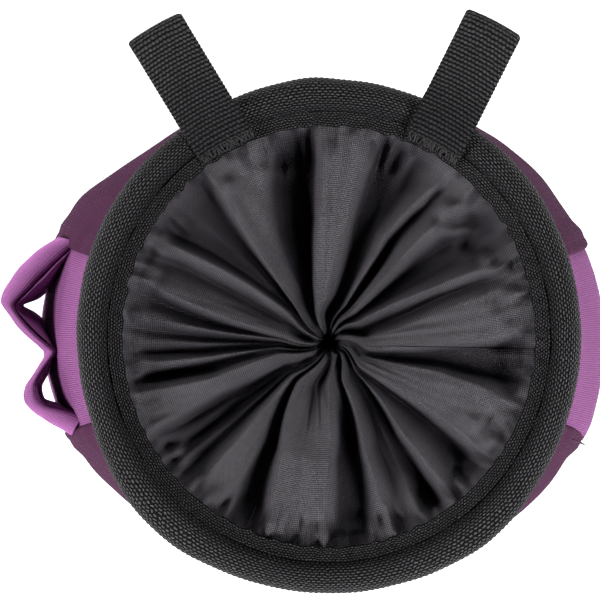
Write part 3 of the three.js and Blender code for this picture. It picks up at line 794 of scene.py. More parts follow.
def make_materials():
    finish, rim, loops = sizes("finish"), sizes("rim"), sizes("loops")
    plain_weave_group()
    beaded_weave_group()
    mottle_group()
    thread = sizes("closure").thread_pitch
    canvas = {"Across pitch": BODY_WEAVE, "Along pitch": BODY_WEAVE}
    nylon = {"Across pitch": thread, "Along pitch": thread}
    cloth_material("Plum cloth", finish.plum, "Plain weave", canvas, roughness=0.95,
                   depth=0.1 * MM, gap_shade=0.5, gloss=0.08, amount=0.35)
    cloth_material("Orchid cloth", finish.orchid, "Plain weave", canvas, roughness=0.9,
                   depth=0.12 * MM, gap_shade=0.6, sheen=0.03, gloss=0.12, amount=0.35)
    # The brush band is the side panels' orchid painted 1.2 times lighter, as painted light on its
    # faces; it also takes painted shade.
    cloth_material("Orchid band with painted light and shade", shaded(finish.orchid, 1.2), "Plain weave", canvas,
                   roughness=0.9, depth=0.12 * MM, gap_shade=0.5, sheen=0.7, gloss=0.12,
                   amount=0.6, painted_recess_shade=True)
    cloth_material("Black knit binding", finish.binding, "Beaded weave",
                   beads(rim.rib_pitch, rim.rung_pitch, 0.45, 0.32, 1.2), roughness=0.6,
                   depth=0.8 * MM, gap_shade=1.0, amount=1.0, lint=0.12, fuzz=0.5, gloss=0.15,
                   painted_recess_shade=True)
    cloth_material("Black seam tape", shaded(finish.binding, 0.6), "Beaded weave",
                   beads(rim.rib_pitch * 0.7, TAPE_RUNG, 0.46, 0.36, 1.6), roughness=0.6,
                   depth=0.8 * MM, gap_shade=1.0, amount=1.0, lint=0.12, fuzz=0.8, gloss=0.15)
    cloth_material("Black webbing", finish.webbing, "Beaded weave",
                   beads(loops.rib_pitch, loops.rib_pitch, 0.56, 0.42, 0.6), roughness=0.6,
                   depth=0.8 * MM, gap_shade=1.0, amount=1.4, lint=0.15, fuzz=0.9, gloss=0.2,
                   painted_recess_shade=True)
    cloth_material("Grey nylon", finish.nylon, "Plain weave", nylon, roughness=0.48,
                   depth=0.18 * MM, gap_shade=0.8, amount=1.5, lint=0.03, fuzz=1.2, gloss=0.36,
                   painted_recess_shade=True)
    thread_material("Plum thread", shaded(finish.plum, 0.7))
    thread_material("Black thread", (0.05, 0.048, 0.05), 0.5)


def body_relief(angle, height):
    """Slack of the sewn cloth: soft unevenness, puckers under the rim and over the base."""
    body = sizes("body")
    arc = angle * BODY_ARC
    below_rim = np.exp(-(body.height - height) / PUCKER_REACH)
    over_base = np.exp(-np.abs(height - SAG_HEIGHT) / PUCKER_REACH)
    ends = smooth(height, 0, 6 * MM) * smooth(body.height - height, 0, 4 * MM)
    relief = (
        uneven("slack", arc, height)
        + FINE_SLACK * uneven("fine slack", arc, height)
        + RIM_PUCKERS * below_rim * uneven("puckers under the rim", arc, height)
        + BASE_SAG * over_base * uneven("sag over the base", arc, height)
    )
    return body.slack * relief * ends


def seam_angles():
    """The side seams, counterclockwise from the right front one."""
    body = sizes("body")
    half = body.side_span / 2
    return [middle + way * half for middle in (body.right_middle, body.left_middle)
            for way in (-1, 1)]


def seam_profile(from_edge, laps):
    """How far a panel stands out beside its seams, folded under or pulled in."""
    if not laps:
        return -SIDE_PULL * (1 - smooth(from_edge, 0, PULL_WIDTH))
    lift = LAP_LIFT * (1 - smooth(from_edge, LIFT_FROM, LIFT_TO))
    curl = LAP_CURL * (1 - smooth(from_edge, 0, CURL_WIDTH) ** 0.5)
    groove = GROOVE_DEPTH * np.exp(-((from_edge - GROOVE_PLACE) / GROOVE_WIDTH) ** 2)
    return lift - curl - groove


def body_panel(node, start, stop, colour, laps):
    """A wall panel. A lapping panel stands over its neighbours' edges."""
    body = sizes("body")
    columns = int((stop - start) * BODY_ARC / (0.95 * MM)) + 4
    close = np.array((0.0012, 0.0028, 0.005, 0.008))
    shares = np.unique(np.concatenate([np.linspace(0, 1, columns), close, 1 - close]))
    lap = body.lap / BODY_ARC if laps else 0.0
    angle = mix(start - lap, stop + lap, shares)[:, None]
    height = mix(WALL_FOOT, body.height, np.linspace(0, 1, 118) ** 1.15)[None, :]
    from_edge = np.minimum(angle - angle[0], angle[-1] - angle) * BODY_ARC
    pucker = SEAM_PUCKER * uneven("puckers at a seam", height) * np.exp(-from_edge / SEAM_REACH)
    top = smooth(body.height - height, 0, 5 * MM)
    offset = (seam_profile(from_edge, laps) + pucker) * top + body_relief(angle, height)
    radius = body_radius(angle, height)
    step = 0.5 * MM
    widening = body_radius(angle, height + step) - body_radius(angle, height - step)
    slope = np.clip(np.arctan2(widening, 2 * step), -1.0, 1.15)
    outer = polar(angle, radius + offset * np.cos(slope), height - offset * np.sin(slope))
    outer[..., 2] = np.maximum(outer[..., 2], FLOOR_GAP)
    inset = offset - body.wall * 0.8
    inner_height = np.minimum(height - inset * np.sin(slope), body.height)
    inner = polar(angle, radius + inset * np.cos(slope), inner_height)
    uvs = pairs(angle * BODY_ARC, height)
    panel = swept(f"{node}_cloth", closed(outer, inner), closed(uvs, uvs), False)
    finish_piece(panel, f"{colour.title()} cloth", f"{colour}_cloth", (node,),
                 flat=flat_size(outer), held="stretched", area=surface_area(outer))


def flat_size(grid):
    """The longest way across and along a grid of points, as its cut's width and length."""
    along = np.linalg.norm(np.diff(grid, axis=1), axis=-1).sum(1).max()
    across = np.linalg.norm(np.diff(grid, axis=0), axis=-1).sum(0).max()
    return float(across), float(along)


def surface_area(grid):
    a, b = grid[1:, 1:] - grid[:-1, :-1], grid[:-1, 1:] - grid[1:, :-1]
    return float(np.linalg.norm(np.cross(a, b), axis=-1).sum() / 2)


def seam_stitches(name, angle):
    """Top stitching beside a side seam, on the lapping panel."""
    height = np.linspace(5 * MM, sizes("body").height - 3 * MM, 260)
    around = np.full_like(height, angle)
    proud = STITCH_PROUD + STITCH_PUCKER * uneven("puckers at a seam", height)
    radius = body_radius(around, height) + proud + body_relief(around, height)
    points, ups = polar(around, radius, height), polar(around, 1.0, 0.0)
    stitch_line(name, points, ups, SEAM_SEWING, "Plum thread", "plum_cloth")


class CHALKBAG_OT_body(bpy.types.Operator):
    """Sew the four wall panels, with lapped and stitched side seams"""

    bl_idname = "chalk_bag.body"
    bl_label = "Body panels"

    def execute(self, context):
        right_front, right_back, left_back, left_front = seam_angles()
        body_panel("front_panel", left_front, right_front + math.tau, "plum", True)
        body_panel("back_panel", right_back, left_back, "plum", True)
        body_panel("left_side_panel", left_back, left_front, "orchid", False)
        body_panel("right_side_panel", right_front, right_back, "orchid", False)
        inset = SEAM_INSET / BODY_ARC
        seam_stitches("left_front_stitches", left_front + inset)
        seam_stitches("right_front_stitches", right_front - inset)
        seam_stitches("right_back_stitches", right_back + inset)
        seam_stitches("left_back_stitches", left_back - inset)
        return {"FINISHED"}


class CHALKBAG_OT_base(bpy.types.Operator):
    """Make the flat base panel and the stitching round its foot"""

    bl_idname = "chalk_bag.base"
    bl_label = "Base panel"

    def execute(self, context):
        body = sizes("body")
        angle = np.linspace(0, math.tau, 180, endpoint=False)[:, None]
        edge = body_radius(angle, WALL_FOOT) - body.wall - BASE_GAP
        thickness = float(BASE_HIGH[2] - BASE_LOW[2])
        share = np.concatenate([np.linspace(0.004, 0.96, 26), (0.985, 0.996, 1.0)])
        rounding = BASE_ROUNDING * smooth(share, 0.975, 1.0) ** 2
        bottom, top = (polar(angle, edge * share, height)
                       for height in (rounding, thickness - rounding))
        loops = closed(bottom, top)
        faces = grid_faces(*loops.shape[:2], True, False)
        uvs = loops[..., :2].reshape(-1, 2)
        panel = new_object("base_panel_cloth", loops.reshape(-1, 3), faces, uvs)
        close_pinholes(panel)
        finish_piece(panel, "Plum cloth", "plum_cloth", ("base_panel",), held="stretched",
                     flat=(2 * body.base_width, 2 * body.base_depth),
                     area=math.pi * body.base_width * body.base_depth * 0.93)
        around = np.linspace(0, math.tau, 500)
        radius = body_radius(around, BASE_STITCHES) + 0.1 * MM
        points = polar(around, radius, BASE_STITCHES)
        ups = polar(around, 1.0, -0.8)
        stitch_line("base_stitches", points, ups, BASE_SEWING, "Plum thread", "plum_cloth")
        return {"FINISHED"}


def close_pinholes(piece):
    """Fill the tiny rings left at the middle of a disc."""
    work = bmesh.new()
    work.from_mesh(piece.data)
    edges = [e for e in work.edges if e.is_boundary]
    bmesh.ops.holes_fill(work, edges=edges, sides=0)
    bmesh.ops.recalc_face_normals(work, faces=work.faces)
    work.to_mesh(piece.data)
    work.free()


class CHALKBAG_OT_rim(bpy.types.Operator):
    """Bind the padded rim in ribbed knit, with the stitched tape inside it"""

    bl_idname = "chalk_bag.rim"
    bl_label = "Rim and seam tape"

    def execute(self, context):
        self.padded_rim(sizes("rim"))
        self.seam_tape(sizes("rim"))
        return {"FINISHED"}

    def padded_rim(self, rim):
        ribs = round(math.tau * (rim.half_width - rim.pad_width / 2) / rim.rib_pitch)
        rungs = round(math.pi * (rim.pad_width + rim.pad_height) / 2 / rim.rung_pitch)
        angle = np.linspace(0, math.tau, ribs * 4, endpoint=False)[:, None]
        around = np.linspace(0, math.tau, 60, endpoint=False)[None, :]
        turn = around - math.pi / 2
        arc = angle * PAD_ARC
        lumps = PAD_LUMPS * uneven("lumps of the pad", arc)
        dents = PAD_DENTS * uneven("dents of the pad", arc, turn * 4 * MM)
        rib = PAD_RIBS * np.cos(angle * ribs) * smooth(np.sin(turn), -0.9, 0.2)
        proud = lumps + dents + rib - PAD_SINK
        flat = 1 - 0.05 * smooth(-np.cos(turn), 0.2, 1)
        fuller = fullness(angle, RIM_FULL_SPOTS) * smooth(np.cos(turn), 0, 0.8)
        radius = pad_centre(angle) + (rim.pad_width / 2 * flat + proud) * np.cos(turn) + fuller
        middle = (RIM_LOW[2] + RIM_HIGH[2]) / 2
        height = middle + (rim.pad_height / 2 + proud) * np.sin(turn)
        full_across, full_up = ribs * rim.rib_pitch, rungs * rim.rung_pitch
        uvs = pairs(angle / math.tau * full_across, around / math.tau * full_up)
        ring = swept("rim_binding", polar(angle, radius, height), uvs, True)
        mend_seam_uv(ring, full_across, full_up)
        # Painted shade on the inner side of the rim's pad, towards the mouth.
        inner_side_shade = RIM_SHADE * (1 - smooth(np.cos(turn), -0.9, 0.35))
        keep_painted_shade(ring, np.broadcast_to(inner_side_shade, radius.shape))
        finish_piece(ring, "Black knit binding", "black_binding", ("rim_ring",))

    def seam_tape(self, rim):
        angle = np.linspace(0, math.tau, 1500, endpoint=False)[:, None]
        arc = angle * MOUTH_ARC
        patchy = 0.7 + 0.5 * uneven("patches of the tape", arc)
        fringe = TAPE_FRINGE * uneven("fringe of the tape", arc) * patchy
        outer = pad_centre(angle) - rim.pad_width / 2 * 0.72
        share = np.array((0, 0.08, 0.2, 0.34, 0.48, 0.62, 0.76, 0.88, 0.95, 1.0))[None, :]
        radius = mix(outer, mouth_radius(angle) + fringe, share)
        wander = uneven("wander of the tape", arc, share * rim.tape_width)
        crown = TAPE_CROWN * np.sin(share * math.pi) ** 0.5
        stitched = TAPE_STITCHING * wander * patchy * smooth(share, 0, 0.25)
        under_pad = TAPE_RISE * np.clip(1 - share / RISE_WIDTH, 0, 1) ** 1.5
        top = polar(angle, radius, TAPE_TOP - TAPE_SINK + crown + stitched + under_pad)
        under = polar(angle, radius, float(TAPE_LOW[2]) + 0.1 * MM * wander)
        full_across = round(math.tau * MOUTH_ARC / rim.rib_pitch) * rim.rib_pitch
        width = closed(share, share) * (rim.tape_width + UNDER_TAPE)
        uvs = pairs(angle / math.tau * full_across, width)
        tape = swept("seam_tape_cloth", closed(under, top)[:, ::-1], uvs[:, ::-1], True)
        mend_seam_uv(tape, full_across, None)
        finish_piece(tape, "Black seam tape", "black_binding", ("rim_seam_tape",))


def keep_painted_shade(piece, values):
    """Keep how much painted shade each point takes, from 0 to 1, to darken the cloth's dye."""
    layer = piece.data.attributes.new("painted_shade", "FLOAT", "POINT")
    layer.data.foreach_set("value", values.astype(np.float32).ravel())


def mend_seam_uv(piece, full_across, full_up):
    """Carry the weave on over the joint of a ring, so that no face runs backwards."""
    layer = piece.data.uv_layers["weave"].data
    values = np.empty(len(layer) * 2, np.float32)
    layer.foreach_get("uv", values)
    values = values.reshape(-1, 4, 2)
    for axis, full in ((0, full_across), (1, full_up)):
        if full:
            column = values[..., axis]
            wrapped = (column.max(1) - column.min(1)) > full / 2
            column[wrapped[:, None] & (column < full / 2)] += full
    layer.foreach_set("uv", values.ravel())


def fold_values(out, measure):
    """Every fold's angle or rise at each share of the way out."""
    near, mid, rim = (FOLDS[f"{place}_{measure}"][:, None] for place in ("near", "mid", "rim"))
    inner = mix(near, mid, np.clip((out - FOLD_NEAR) / (FOLD_MID - FOLD_NEAR), 0, 1))
    outer = mix(mid, rim, np.clip((out - FOLD_MID) / (FOLD_RIM - FOLD_MID), 0, 1))
    return np.where(out < FOLD_MID, inner, outer)


def closure_reach(angle):
    """How far the skirt runs from the middle of its folds to under the tape."""
    edge = mouth_radius(angle) + UNDER_TAPE
    along = FOLD_CENTRE[0] * np.cos(angle) + FOLD_CENTRE[1] * np.sin(angle)
    across = float(FOLD_CENTRE @ FOLD_CENTRE) - along**2
    return np.sqrt(edge**2 - across) - along


def spot(row, chart, radius):
    """How much of a pocket or crumple reaches each point, with 1 at its middle."""
    away = degrees_from(chart[:, None], row["angle"]) / row["wide"]
    return np.exp(-(away**2) - ((radius - row["out"] * MM) / (row["long"] * MM)) ** 2)


class CHALKBAG_OT_closure(bpy.types.Operator):
    """Gather the nylon closure to its small hole, fold by fold"""

    bl_idname = "chalk_bag.closure"
    bl_label = "Closure"

    def execute(self, context):
        closure = sizes("closure")
        out = np.concatenate([np.linspace(1, 0.9, 14), np.linspace(0.885, 0.12, 46),
                              np.linspace(0.105, 0, 10)])
        creased = SEAM_CREASE + np.array((-0.45, -0.3, -0.15, 0, 0.15, 0.3, 0.45))
        chart = np.union1d(np.linspace(0, 360, 680, endpoint=False), creased)
        gathered = smooth(FOLD_NEAR - out, 0, FOLD_NEAR)[None, :]
        angle = np.radians(chart)[:, None] + gathered * HOLE_TWIST
        hole = closure.hole_radius * (0.9 + 0.17 * np.cos(3 * angle + 1) + 0.1 * np.cos(8 * angle))
        radius = mix(hole, closure_reach(angle), out[None, :])
        relief, height = self.heights(closure, out, chart, angle, radius)
        centre = mix(FOLD_CENTRE[None, None], HOLE_CENTRE[None, None], gathered[..., None])
        flat = centre + radius[..., None] * pairs(np.cos(angle), np.sin(angle))
        top = np.concatenate([flat, height[..., None]], -1)
        under = top - np.array((0, 0, NYLON_THICKNESS))
        threads_round = round(math.tau * MOUTH_ARC / closure.thread_pitch / 2) * 2
        full_across = threads_round * closure.thread_pitch
        uvs = pairs(angle / math.tau * full_across, radius)
        skirt = swept("closure_nylon", closed(top, under), closed(uvs, uvs), True)
        mend_seam_uv(skirt, full_across, None)
        # Painted shade: the nylon's dye darkens between the folds, into the hole and over its whole
        # under side.
        painted_shade = self.painted_recess_shade(closure, out, angle, radius, relief)
        keep_painted_shade(skirt, np.concatenate([painted_shade, np.ones_like(painted_shade)], 1))
        reach = float(closure_reach(np.array(0.0)))
        hems = [bpy.data.objects["seam_tape_cloth"]]
        finish_piece(skirt, "Grey nylon", "grey_nylon", ("closure",),
                     flat=(math.tau * reach, reach * 1.1), held="gathered",
                     area=surface_area(top), with_pieces=hems)
        return {"FINISHED"}

    def heights(self, closure, out, chart, angle, radius):
        """The skirt's relief over its mean surface, and its heights."""
        arc = angle * MOUTH_ARC

        def along(places, shares):
            return np.interp(out, places, shares)[None, :]

        fade = along((0, 0.06, 0.12, 0.21, 0.31, 0.6, 0.86, 0.93, 0.97, 1),
                     (0.3, 0.5, 0.6, 0.8, 1, 1.1, 1.45, 1.1, 0.35, 0))
        folds = closure.fold_depth * self.fold_surface(chart, out)
        wrinkles = self.wrinkles(angle, radius, closure.seed)
        patchy = 0.6 + 0.6 * uneven("patches of the ruffle", arc)
        ruffle = closure.ruffle * uneven("ruffle", arc, radius) * patchy
        ruffle = ruffle * along((0.78, 0.9, 0.965, 1), (0, 1, 1, 0.1))
        slack = NYLON_SLACK * uneven("slack of the nylon", angle * 30 * MM, radius)
        slack = slack * along((0.1, 0.25, 0.9, 1), (0, 1, 1, 0))
        pockets = sum(row["depth"] * MM * spot(row, chart, radius) for row in POCKETS)
        crease = np.exp(-(((chart - SEAM_CREASE) / CREASE_WIDTH) ** 2))[:, None]
        pockets = pockets + CREASE_DEPTH * crease * smooth(radius, 14 * MM, 22 * MM)
        bunched = self.crumples(chart, angle, radius)
        relief = fade * (folds + wrinkles) + slack + ruffle + bunched - pockets
        edge = float(TAPE_LOW[2]) - NYLON_GAP
        dip = closure.dip * (1 - out[None, :]) ** 1.2
        throat = closure.throat * smooth(0.05 - out, 0, 0.05)[None, :] ** 2
        return relief, edge - dip - throat - fade * 0.7 * closure.fold_depth + relief

    def painted_recess_shade(self, closure, out, angle, radius, relief):
        """Painted shade: how dark each point is painted between the folds, and in patches of tuck and
        nip shade near the seam.
        """
        arc = angle * MOUTH_ARC
        between = 1 - smooth(relief / closure.fold_depth, -0.5, 0.6)
        # Painted shade for tucks and nips near the seam, in noisy patches that follow no fold of the
        # cloth.
        painted_tuck_shade = smooth(uneven("painted_tuck_shade", arc, radius), 0.0, 0.6)
        painted_nip_shade = smooth(uneven("painted_nip_shade", arc, radius), 0.1, 0.8)
        between = between * np.interp(out, (0, 0.05, 0.9, 1), (1, 0.95, 0.95, 0.5))[None, :]
        painted_tuck_shade = painted_tuck_shade * np.interp(out, (0.8, 0.93, 1), (0, 0.8, 1))[None, :]
        painted_nip_shade = painted_nip_shade * np.interp(out, (0.92, 0.98, 1), (0, 0.85, 1))[None, :]
        return np.maximum(np.maximum(between, painted_tuck_shade), painted_nip_shade)

    def fold_surface(self, chart, out):
        """Rise over the mean surface: round on the ridges and sharper in the valleys."""
        angles, rises = fold_values(out[None, :], "angle"), fold_values(out[None, :], "rise")
        surface = np.empty((len(chart), len(out)))
        for k in range(len(out)):
            at = np.concatenate([angles[:, k] - 360, angles[:, k], angles[:, k] + 360])
            height = np.tile(rises[:, k], 3)
            place = np.clip(np.searchsorted(at, chart) - 1, 0, len(at) - 2)
            share = (chart - at[place]) / (at[place + 1] - at[place])
            left, right = height[place], height[place + 1]
            falling = share**1.25
            rising = 1 - (1 - share) ** 1.25
            surface[:, k] = mix(left, right, np.where(left > right, falling, rising))
        padded = np.concatenate([surface[-1:], surface, surface[:1]])
        return (padded[:-2] + 2 * padded[1:-1] + padded[2:]) / 4

    def wrinkles(self, angle, radius, seed):
        """Fine drag lines that run out from the hole."""
        rng = np.random.default_rng(seed)
        total = 0
        for _ in range(26):
            number = rng.integers(26, 120)
            bend = rng.uniform(-0.16, 0.16) / MM
            size = rng.uniform(0.5, 1.0) * 26 / number
            breath = 0.5 + 0.5 * np.cos(angle * rng.integers(2, 9) + rng.uniform(0, 6)
                                        + radius * rng.uniform(60, 200))
            total = total + size * breath * np.cos(number * angle + bend * radius + rng.uniform(0, 6))
        return DRAG_LINES * total

    def crumples(self, chart, angle, radius):
        """Patches near the rim where the cloth is bunched crosswise."""
        x, y = radius * np.cos(angle), radius * np.sin(angle)
        total = 0
        for row in CRUMPLES:
            bunched = waves(x, y, *CRUMPLE_WAVES, int(row["angle"]))
            total = total + row["depth"] * MM * spot(row, chart, radius) * bunched
        return total


def arc_points(centre_x, centre_z, radius, start, stop, count):
    """Points of an arc in the plane of a belt loop's line."""
    return [(centre_x + radius * math.cos(turn), centre_z + radius * math.sin(turn))
            for turn in np.linspace(start, stop, count)]


def belt_line(angle):
    """The webbing's middle line: distance from the bag's axis and height, closely spaced."""
    loops, rim = sizes("loops"), sizes("rim")
    half, quarter = loops.webbing_thickness / 2, math.pi / 2
    clear = WEBBING_GAP + half
    pad, outer = float(pad_centre(angle)), float(rim_radius(angle))
    middle = PAD_TOP - rim.pad_height / 2
    start = math.asin(min((TAPE_TOP + clear - middle) / (rim.pad_height / 2 + clear), 1))
    line = [(float(mouth_radius(angle)) + 0.2 * MM, TAPE_TOP + clear)]
    for turn in np.linspace(math.pi - start, quarter, 12):
        line.append((pad + (rim.pad_width / 2 + clear) * math.cos(turn),
                     middle + (rim.pad_height / 2 + clear) * math.sin(turn)))
    top = PAD_TOP + clear
    fold = (loops.slot_height + loops.webbing_thickness) / 2
    line += arc_points(outer + loops.reach - fold - half, top - fold, fold, quarter, -quarter, 24)
    under, bend, wall = top - 2 * fold, WEBBING_BEND, outer + clear
    line += arc_points(wall + bend, under - bend, bend, quarter, math.pi, 8)
    foot = under - bend - loops.tail
    foot_radius = max(float(body_radius(angle, foot)) + clear, wall - (wall - pad) / 2)
    line.append((mix(wall, foot_radius, 0.5), mix(under - bend, foot, 0.5)))
    line.append((foot_radius, foot))
    line = np.array(line)
    steps = run_lengths(line)
    where = np.arange(0, steps[-1], loops.rib_pitch / 5)
    return where, softened(points_at(where, steps, line), np.ones(7) / 7)


def belt_place(points, across, angle, lean):
    """Carries points of the line's plane to the bag, at a distance across the webbing."""
    outer = float(rim_radius(angle))
    sideways = across + (points[..., 0] - points[0, ..., 0]) * math.tan(math.radians(lean))
    set_back = outer - np.sqrt(outer**2 - sideways**2)
    x = points[..., 0] - set_back
    return np.stack([x * math.cos(angle) - sideways * math.sin(angle),
                     x * math.sin(angle) + sideways * math.cos(angle), points[..., 1]], -1)


class CHALKBAG_OT_belt_loops(bpy.types.Operator):
    """Weave the two belt loops and tack them to the rim"""

    bl_idname = "chalk_bag.belt_loops"
    bl_label = "Belt loops"

    def execute(self, context):
        for name, rim_angle, lean in BELT_LOOPS:
            self.loop(sizes("loops"), name, math.radians(rim_angle), lean)
        return {"FINISHED"}

    def loop(self, loops, name, angle, lean):
        where, line = belt_line(angle)
        tangent = np.gradient(line, axis=0)
        tangent /= np.linalg.norm(tangent, axis=1, keepdims=True)
        normal = np.stack([-tangent[:, 1], tangent[:, 0]], 1)
        half = loops.webbing_width / 2
        across = np.linspace(-half, half, 66)
        rows, ribs = across / loops.rib_pitch, (where / loops.rib_pitch)[:, None]
        over = np.cos(math.pi * (ribs + np.floor(rows)))
        weave = RIB_HEIGHT * np.abs(np.sin(math.pi * ribs)) ** 0.7
        dots = DOT_HEIGHT * over * np.abs(np.sin(math.pi * rows))
        round_off = EDGE_ROUNDING * smooth(np.abs(across), half - EDGE_WIDTH, half) ** 2
        lift = loops.webbing_thickness / 2 + weave + dots - round_off - WEBBING_SINK
        wavy = WEBBING_WAVE * waves(where, 0.0, *WEBBING_WAVES, int(math.degrees(angle)))
        wavy = wavy * smooth(where, 14 * MM, 24 * MM)
        middle = line + np.stack([0 * wavy, wavy], 1)
        width = 1 + 0.012 * np.sin(math.tau * ribs)
        front, back = (
            belt_place(middle[:, None] + normal[:, None] * (way * lift)[..., None],
                       across * width, angle, lean)
            for way in (1, -1)
        )
        grid, uvs = closed(front, back), pairs(across, where[:, None])
        strap = swept(f"{name}_webbing", grid, closed(uvs, uvs), False)
        # Painted shade on the webbing where it lies over the rim, fading out towards the loop.
        near_rim_shade = RIM_SHADE * (1 - smooth(line[:, 0], 58 * MM, 82 * MM))
        keep_painted_shade(strap, np.broadcast_to(near_rim_shade[:, None], grid.shape[:2]))
        finish_piece(strap, "Black webbing", "black_webbing", (name,),
                     flat=(loops.webbing_width, float(where[-1])), held="folded")
        self.tack(loops, name, angle, lean, line)

    def tack(self, loops, name, angle, lean, line):
        """Dense, uneven stitching over the end sewn to the tape and over the tail's foot."""
        rng = np.random.default_rng(int(math.degrees(angle)))
        thick = loops.webbing_thickness / 2 + 0.12 * MM
        runs = ((line[0] + (0.1 * MM, thick), (1.0, 0.10), (0, 0, 1.0)),
                (line[-1] + (thick, 0.9 * MM), (0, 1.0), (math.cos(angle), math.sin(angle), 0.0)))
        starts, ends, ups = [], [], []
        for foot, along, up in runs:
            for row, reach in ((0.0, 1.5), (1.3, 2.8), (2.5, 4.2), (0.3, 3.9)):
                for across in np.arange(-0.46, 0.47, 0.052) * loops.webbing_width:
                    jitter = rng.uniform(-0.28, 0.28, 4) * MM
                    lift = rng.uniform(-0.05, 0.16) * MM
                    raised = foot + (np.array((0, lift)) if up[2] else np.array((lift, 0)))
                    side = 0.5 * MM * rng.choice((-1, 1))
                    for points, out, aside in (
                        (starts, row * MM + jitter[0], jitter[2]),
                        (ends, reach * MM + jitter[1], side + jitter[3]),
                    ):
                        place = np.array([line[0], raised + np.array(along) * out])[:, None]
                        points.append(belt_place(place, across + aside, angle, lean)[1, 0])
                    ups.append(up)
        threads(f"{name}_tack", starts, ends, ups, TACK_THREAD, "Black thread", "black_webbing")


class CHALKBAG_OT_brush_holder(bpy.types.Operator):
    """Bend the brush band round the left side in two loops"""

    bl_idname = "chalk_bag.brush_holder"
    bl_label = "Brush holder"

    def execute(self, context):
        loops = sizes("loops")
        foot, top = loops.band_foot, loops.band_foot + loops.band_width
        groove = self.bends("groove", top - GROOVE_DROP)
        outer = self.bends("outer", mix(foot, top, 0.45))
        inner = self.bends("inner", foot + INNER_LIFT)
        run = np.linspace(0, 1, len(groove)) * BAND_RUN
        wavy = BAND_WAVE * uneven("wave of the band", run)
        grid = []
        for way, up, lining in BAND_SECTION:
            aside = (outer if way > 0 else inner) - groove
            wide = np.linalg.norm(aside, axis=1, keepdims=True)
            points = groove + aside * abs(way)
            if lining and abs(way) > 0.5:
                points = points - aside / wide * np.minimum(loops.band_cloth * 0.6, wide * 0.3)
            soft = BAND_SLACK * uneven("cloth of the band", run, up * 22 * MM)
            points = points + aside / wide * soft[:, None] * min(abs(way) * 2, 1)
            height = mix(foot, top, up) + wavy
            grid.append(np.concatenate([points, height[:, None]], 1))
        grid = np.stack(grid, 1)
        length, girth = run_lengths(grid[:, 7]), run_lengths(grid[70])
        band = swept("brush_band", grid, pairs(length[:, None], girth), False)
        # Painted shade in the band's groove, on its lining and on its inner side.
        band_shade = [GROOVE_SHADE if abs(way) < 0.05 else LINING_SHADE if lining
                  else INNER_SHADE * (way < 0) for way, _, lining in BAND_SECTION]
        keep_painted_shade(band, np.broadcast_to(band_shade, grid.shape[:2]))
        band.modifiers.new("Soften", "SUBSURF").levels = 1
        apply_modifiers(band)
        finish_piece(band, "Orchid band with painted light and shade", "orchid_cloth", ("brush_holder",), held="folded",
                     flat=(float(length[-1]), float(girth[-1]) / 2))
        return {"FINISHED"}

    def bends(self, edge, height):
        """An edge of the band in the bag's frame, from where the camera sees it."""
        finish = sizes("finish")
        away = RIM_TOP + finish.camera_height - height
        pixel = finish.frame_width / PHOTO_SIDE * away / finish.camera_height
        x = finish.camera_x + (BRUSH_BAND[f"{edge}_x"] - PHOTO_SIDE / 2) * pixel
        y = finish.camera_y - (BRUSH_BAND[f"{edge}_y"] - PHOTO_SIDE / 2) * pixel
        steps = np.arange(len(x))
        line = points_at(np.linspace(0, steps[-1], 170), steps, np.stack([x, y], 1))
        return softened(line, np.hanning(11) / np.hanning(11).sum())


def apply_modifiers(piece):
    bpy.context.view_layer.update()
    graph = bpy.context.evaluated_depsgraph_get()
    mesh = bpy.data.meshes.new_from_object(piece.evaluated_get(graph))
    piece.modifiers.clear()
    piece.data = mesh


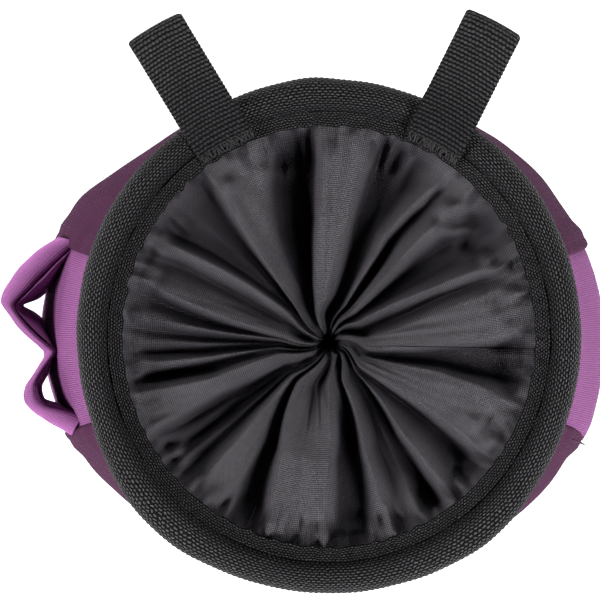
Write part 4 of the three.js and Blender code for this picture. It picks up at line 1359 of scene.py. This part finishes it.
class CHALKBAG_OT_stage(bpy.types.Operator):
    """Lay the pale floor and set the soft lights and the camera over the mouth"""

    bl_idname = "chalk_bag.stage"
    bl_label = "Studio"

    def execute(self, context):
        self.floor()
        self.lights()
        self.air()
        self.camera(context)
        context.scene.view_settings.view_transform = "Standard"
        return {"FINISHED"}

    def floor(self):
        far = 3.0
        corners = [(-far, -far, 0), (far, -far, 0), (far, far, 0), (-far, far, 0)]
        ground = new_object("studio_floor", corners, np.array([(0, 1, 2, 3)]), smooth_shade=False)
        desk, surface = new_material("Pale paper")
        desk.feed(surface["Base Color"], (0.93, 0.93, 0.93, 1))
        desk.feed(surface["Roughness"], 0.9)
        desk.feed(surface["Emission Color"], (1, 1, 1, 1))
        desk.feed(surface["Emission Strength"], 0.75)
        ground.data.materials.append(material("Pale paper"))

    def lights(self):
        aim = Vector((0, 0, 0.1))
        for name, place, power in (
            ("key_softbox", (1.0, -0.8, 1.0), 27.0),
            ("left_softbox", (-1.35, -0.35, 0.75), 25.0),
            ("back_softbox", (0.2, 1.4, 0.5), 6.0),
        ):
            data = bpy.data.lights.new(name, "AREA")
            data.size = 0.6
            data.energy = power
            lamp = bpy.data.objects.new(name, data)
            lamp.location = place
            lamp.rotation_euler = (aim - lamp.location).to_track_quat("-Z", "Y").to_euler()
            bpy.context.scene.collection.objects.link(lamp)

    def air(self):
        """Light from all round, stronger from low down."""
        world = bpy.data.worlds.new("Studio air")
        world.use_nodes = True
        desk = NodeDesk(world.node_tree)
        place = desk.add("ShaderNodeTexCoord")
        apart = desk.add("ShaderNodeSeparateXYZ", {"Vector": place.outputs["Generated"]})
        height = desk.add("ShaderNodeMapRange", {"Value": apart.outputs["Z"], "From Min": 0.1,
                                                 "From Max": 0.9, "To Min": 0.5, "To Max": 0.1})
        desk.feed(world.node_tree.nodes["Background"].inputs["Strength"], height.outputs[0])
        bpy.context.scene.world = world

    def camera(self, context):
        finish = sizes("finish")
        data = bpy.data.cameras.new("Camera over the mouth")
        data.sensor_width = 36
        data.lens = data.sensor_width * finish.camera_height / finish.frame_width
        data.clip_start = 0.01
        seen = bpy.data.objects.new("Camera over the mouth", data)
        seen.location = (finish.camera_x, finish.camera_y, RIM_TOP + finish.camera_height)
        context.scene.collection.objects.link(seen)
        context.scene.camera = seen


class CHALKBAG_PT_panel(bpy.types.Panel):
    """Sizes, colours and pieces of the chalk bag"""

    bl_idname = "CHALKBAG_PT_panel"
    bl_label = "Chalk Bag"
    bl_space_type = "VIEW_3D"
    bl_region_type = "UI"
    bl_category = "Chalk Bag"

    def draw(self, context):
        for group in PROPERTY_GROUPS:
            box = self.layout.box()
            box.label(text=group.title())
            for name in sizes(group).__annotations__:
                box.prop(sizes(group), name)
        for operator in OPERATORS:
            self.layout.operator(operator.bl_idname)


PROPERTY_GROUPS = {
    "body": ChalkBagBody,
    "rim": ChalkBagRim,
    "closure": ChalkBagClosure,
    "loops": ChalkBagLoops,
    "finish": ChalkBagFinish,
}
OPERATORS = (
    CHALKBAG_OT_stage,
    CHALKBAG_OT_body,
    CHALKBAG_OT_base,
    CHALKBAG_OT_rim,
    CHALKBAG_OT_closure,
    CHALKBAG_OT_belt_loops,
    CHALKBAG_OT_brush_holder,
)


def register():
    for name, group in PROPERTY_GROUPS.items():
        bpy.utils.register_class(group)
        setattr(bpy.types.Scene, f"chalk_bag_{name}", PointerProperty(type=group))
    for operator in OPERATORS:
        bpy.utils.register_class(operator)
    bpy.utils.register_class(CHALKBAG_PT_panel)


def unregister():
    bpy.utils.unregister_class(CHALKBAG_PT_panel)
    for operator in reversed(OPERATORS):
        bpy.utils.unregister_class(operator)
    for name, group in PROPERTY_GROUPS.items():
        delattr(bpy.types.Scene, f"chalk_bag_{name}")
        bpy.utils.unregister_class(group)


def main():
    register()
    make_materials()
    bpy.ops.chalk_bag.stage()
    bpy.ops.chalk_bag.body()
    bpy.ops.chalk_bag.base()
    bpy.ops.chalk_bag.rim()
    bpy.ops.chalk_bag.closure()
    bpy.ops.chalk_bag.belt_loops()
    bpy.ops.chalk_bag.brush_holder()


if __name__ == "__main__":
    main()
